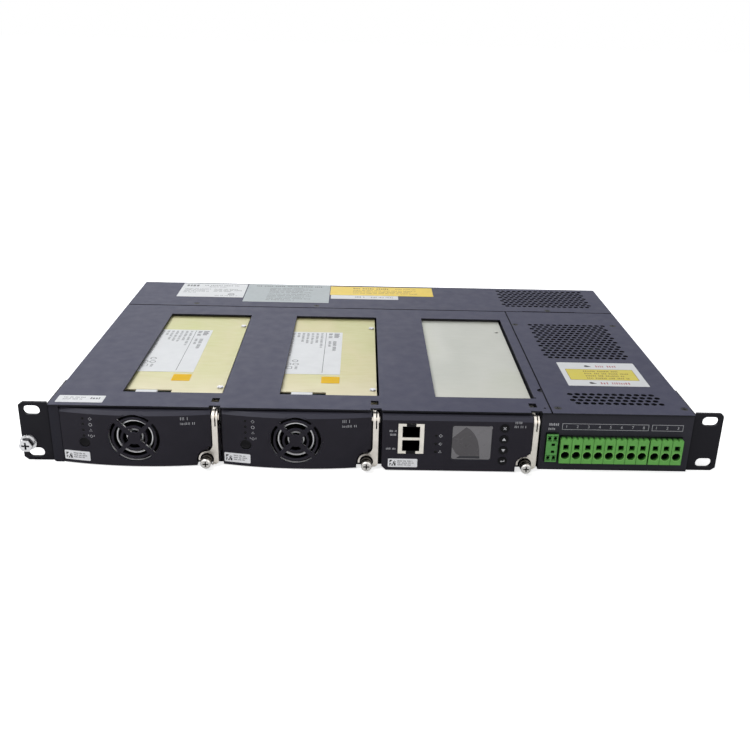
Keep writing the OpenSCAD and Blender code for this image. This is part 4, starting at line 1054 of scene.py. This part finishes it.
def stage():
    """White floor that glows a little to the camera, so that only a soft shadow shows on it."""
    floor_bm = bmesh.new()
    slab(floor_bm, rectangle(-6000, -4000, 6000, 9000), -1.0, -0.1, on_top(0, 0, 0))
    bmesh.ops.scale(floor_bm, vec=(MM, MM, MM), verts=floor_bm.verts)
    mesh = bpy.data.meshes.new("floor")
    floor_bm.to_mesh(mesh)
    floor_bm.free()
    s = Shader("floor_white", 0.9, 0.0, 0.0)
    s.bsdf.inputs["Base Color"].default_value = (0.9, 0.9, 0.9, 1)
    path = s.node("ShaderNodeLightPath")
    glow = s.node("ShaderNodeEmission")
    glow.inputs["Color"].default_value = (1, 1, 1, 1)
    glow.inputs["Strength"].default_value = FLOOR_GLOW
    added = s.node("ShaderNodeAddShader")
    mixed = s.node("ShaderNodeMixShader")
    output = s.tree.nodes["Material Output"]
    s.link(s.bsdf.outputs["BSDF"], added.inputs[0])
    s.link(glow.outputs["Emission"], added.inputs[1])
    s.link(path.outputs["Is Camera Ray"], mixed.inputs["Fac"])
    s.link(s.bsdf.outputs["BSDF"], mixed.inputs[1])
    s.link(added.outputs["Shader"], mixed.inputs[2])
    s.link(mixed.outputs["Shader"], output.inputs["Surface"])
    mesh.materials.append(s.material)
    floor = bpy.data.objects.new("floor", mesh)
    bpy.context.scene.collection.objects.link(floor)


def world():
    """White to the camera, in reflections and through clear film, and a weaker, cooler light elsewhere."""
    made = bpy.data.worlds.new("studio")
    bpy.context.scene.world = made
    made.use_nodes = True
    tree = made.node_tree
    tree.nodes.clear()
    link = tree.links.new

    def background(colour, strength):
        node = tree.nodes.new("ShaderNodeBackground")
        node.inputs["Color"].default_value = (*colour, 1)
        node.inputs["Strength"].default_value = strength
        return node.outputs["Background"]

    def either(first, second):
        node = tree.nodes.new("ShaderNodeMath")
        node.operation = "MAXIMUM"
        link(first, node.inputs[0])
        link(second, node.inputs[1])
        return node.outputs["Value"]

    ray = tree.nodes.new("ShaderNodeLightPath").outputs
    clear = either(ray["Is Glossy Ray"], ray["Is Transmission Ray"])
    mix = tree.nodes.new("ShaderNodeMixShader")
    link(either(ray["Is Camera Ray"], clear), mix.inputs["Fac"])
    link(background((0.95, 0.97, 1.0), SKY), mix.inputs[1])
    link(background((1, 1, 1), 1.0), mix.inputs[2])
    link(mix.outputs["Shader"], tree.nodes.new("ShaderNodeOutputWorld").inputs["Surface"])


def area_light(name, place, target, size, power, colour=(1, 1, 1)):
    """A rectangular lamp aimed at a target, in metres and watts."""
    lamp = bpy.data.lights.new(name, "AREA")
    lamp.shape = "RECTANGLE"
    lamp.size, lamp.size_y = size
    lamp.energy = power
    lamp.color = colour
    made = bpy.data.objects.new(name, lamp)
    made.location = place
    made.rotation_euler = (Vector(target) - Vector(place)).to_track_quat("-Z", "Y").to_euler()
    bpy.context.scene.collection.objects.link(made)


def lights():
    """Key from the upper left, weak fill from the right, and a broad lamp behind."""
    area_light("key", (-0.8, -0.3, 1.3), (-0.05, 0.12, 0), (1.2, 0.9), 12)
    area_light("fill", (0.9, -0.9, 0.7), (0, 0, 0.02), (0.9, 0.7), 2.2, (1.0, 0.98, 0.95))
    area_light("back", (-0.5, 1.3, 0.9), (-0.05, 0.2, 0), (1.3, 0.6), 7, (0.95, 0.97, 1.0))


# Azimuth, elevation and roll of the view in degrees, the camera's place, and its lens and sensor
VIEW = (1.1599, 22.0327, 1.4616)
EYE = Vector((-10.845, -558.51, 293.12))
LENS = 42.92
SENSOR = 36


def camera():
    """The photo's viewpoint: in front of the shelf and above it."""
    azimuth, elevation, roll = (math.radians(a) for a in VIEW)
    flat = math.cos(elevation)
    ahead = Vector((math.sin(azimuth) * flat, math.cos(azimuth) * flat, -math.sin(elevation)))
    right = Vector((math.cos(azimuth), -math.sin(azimuth), 0))
    up = right.cross(ahead)
    across = right * math.cos(roll) + up * math.sin(roll)
    upright = up * math.cos(roll) - right * math.sin(roll)
    lens = bpy.data.cameras.new("camera")
    lens.lens = LENS
    lens.sensor_width = SENSOR
    lens.clip_start = 0.01
    made = bpy.data.objects.new("camera", lens)
    turned = Matrix((across, upright, -ahead)).transposed().to_4x4()
    made.matrix_world = Matrix.Translation(EYE * MM) @ turned
    bpy.context.scene.collection.objects.link(made)
    bpy.context.scene.camera = made


finish_nodes()
open_seams()
rear_labels()
front_label()
terminal_label()
for module, number in RECTIFIERS.items():
    module_plate(module, number)
    lead_plug(module, number)
    module_label(module, number)
    finger_guard(module, number)
    grille_rim(module, number)
    rectifier_front(module, number)
    captive_screw(module, "captive_screw_" + number)
captive_screw("controller", "controller_captive_screw")
controller_front()
jack_notch_shadows()
display_film()
key_marks()
terminal_legends()
entry_lips()
stage()
world()
lights()
camera()
bpy.context.scene.view_settings.view_transform = "Standard"
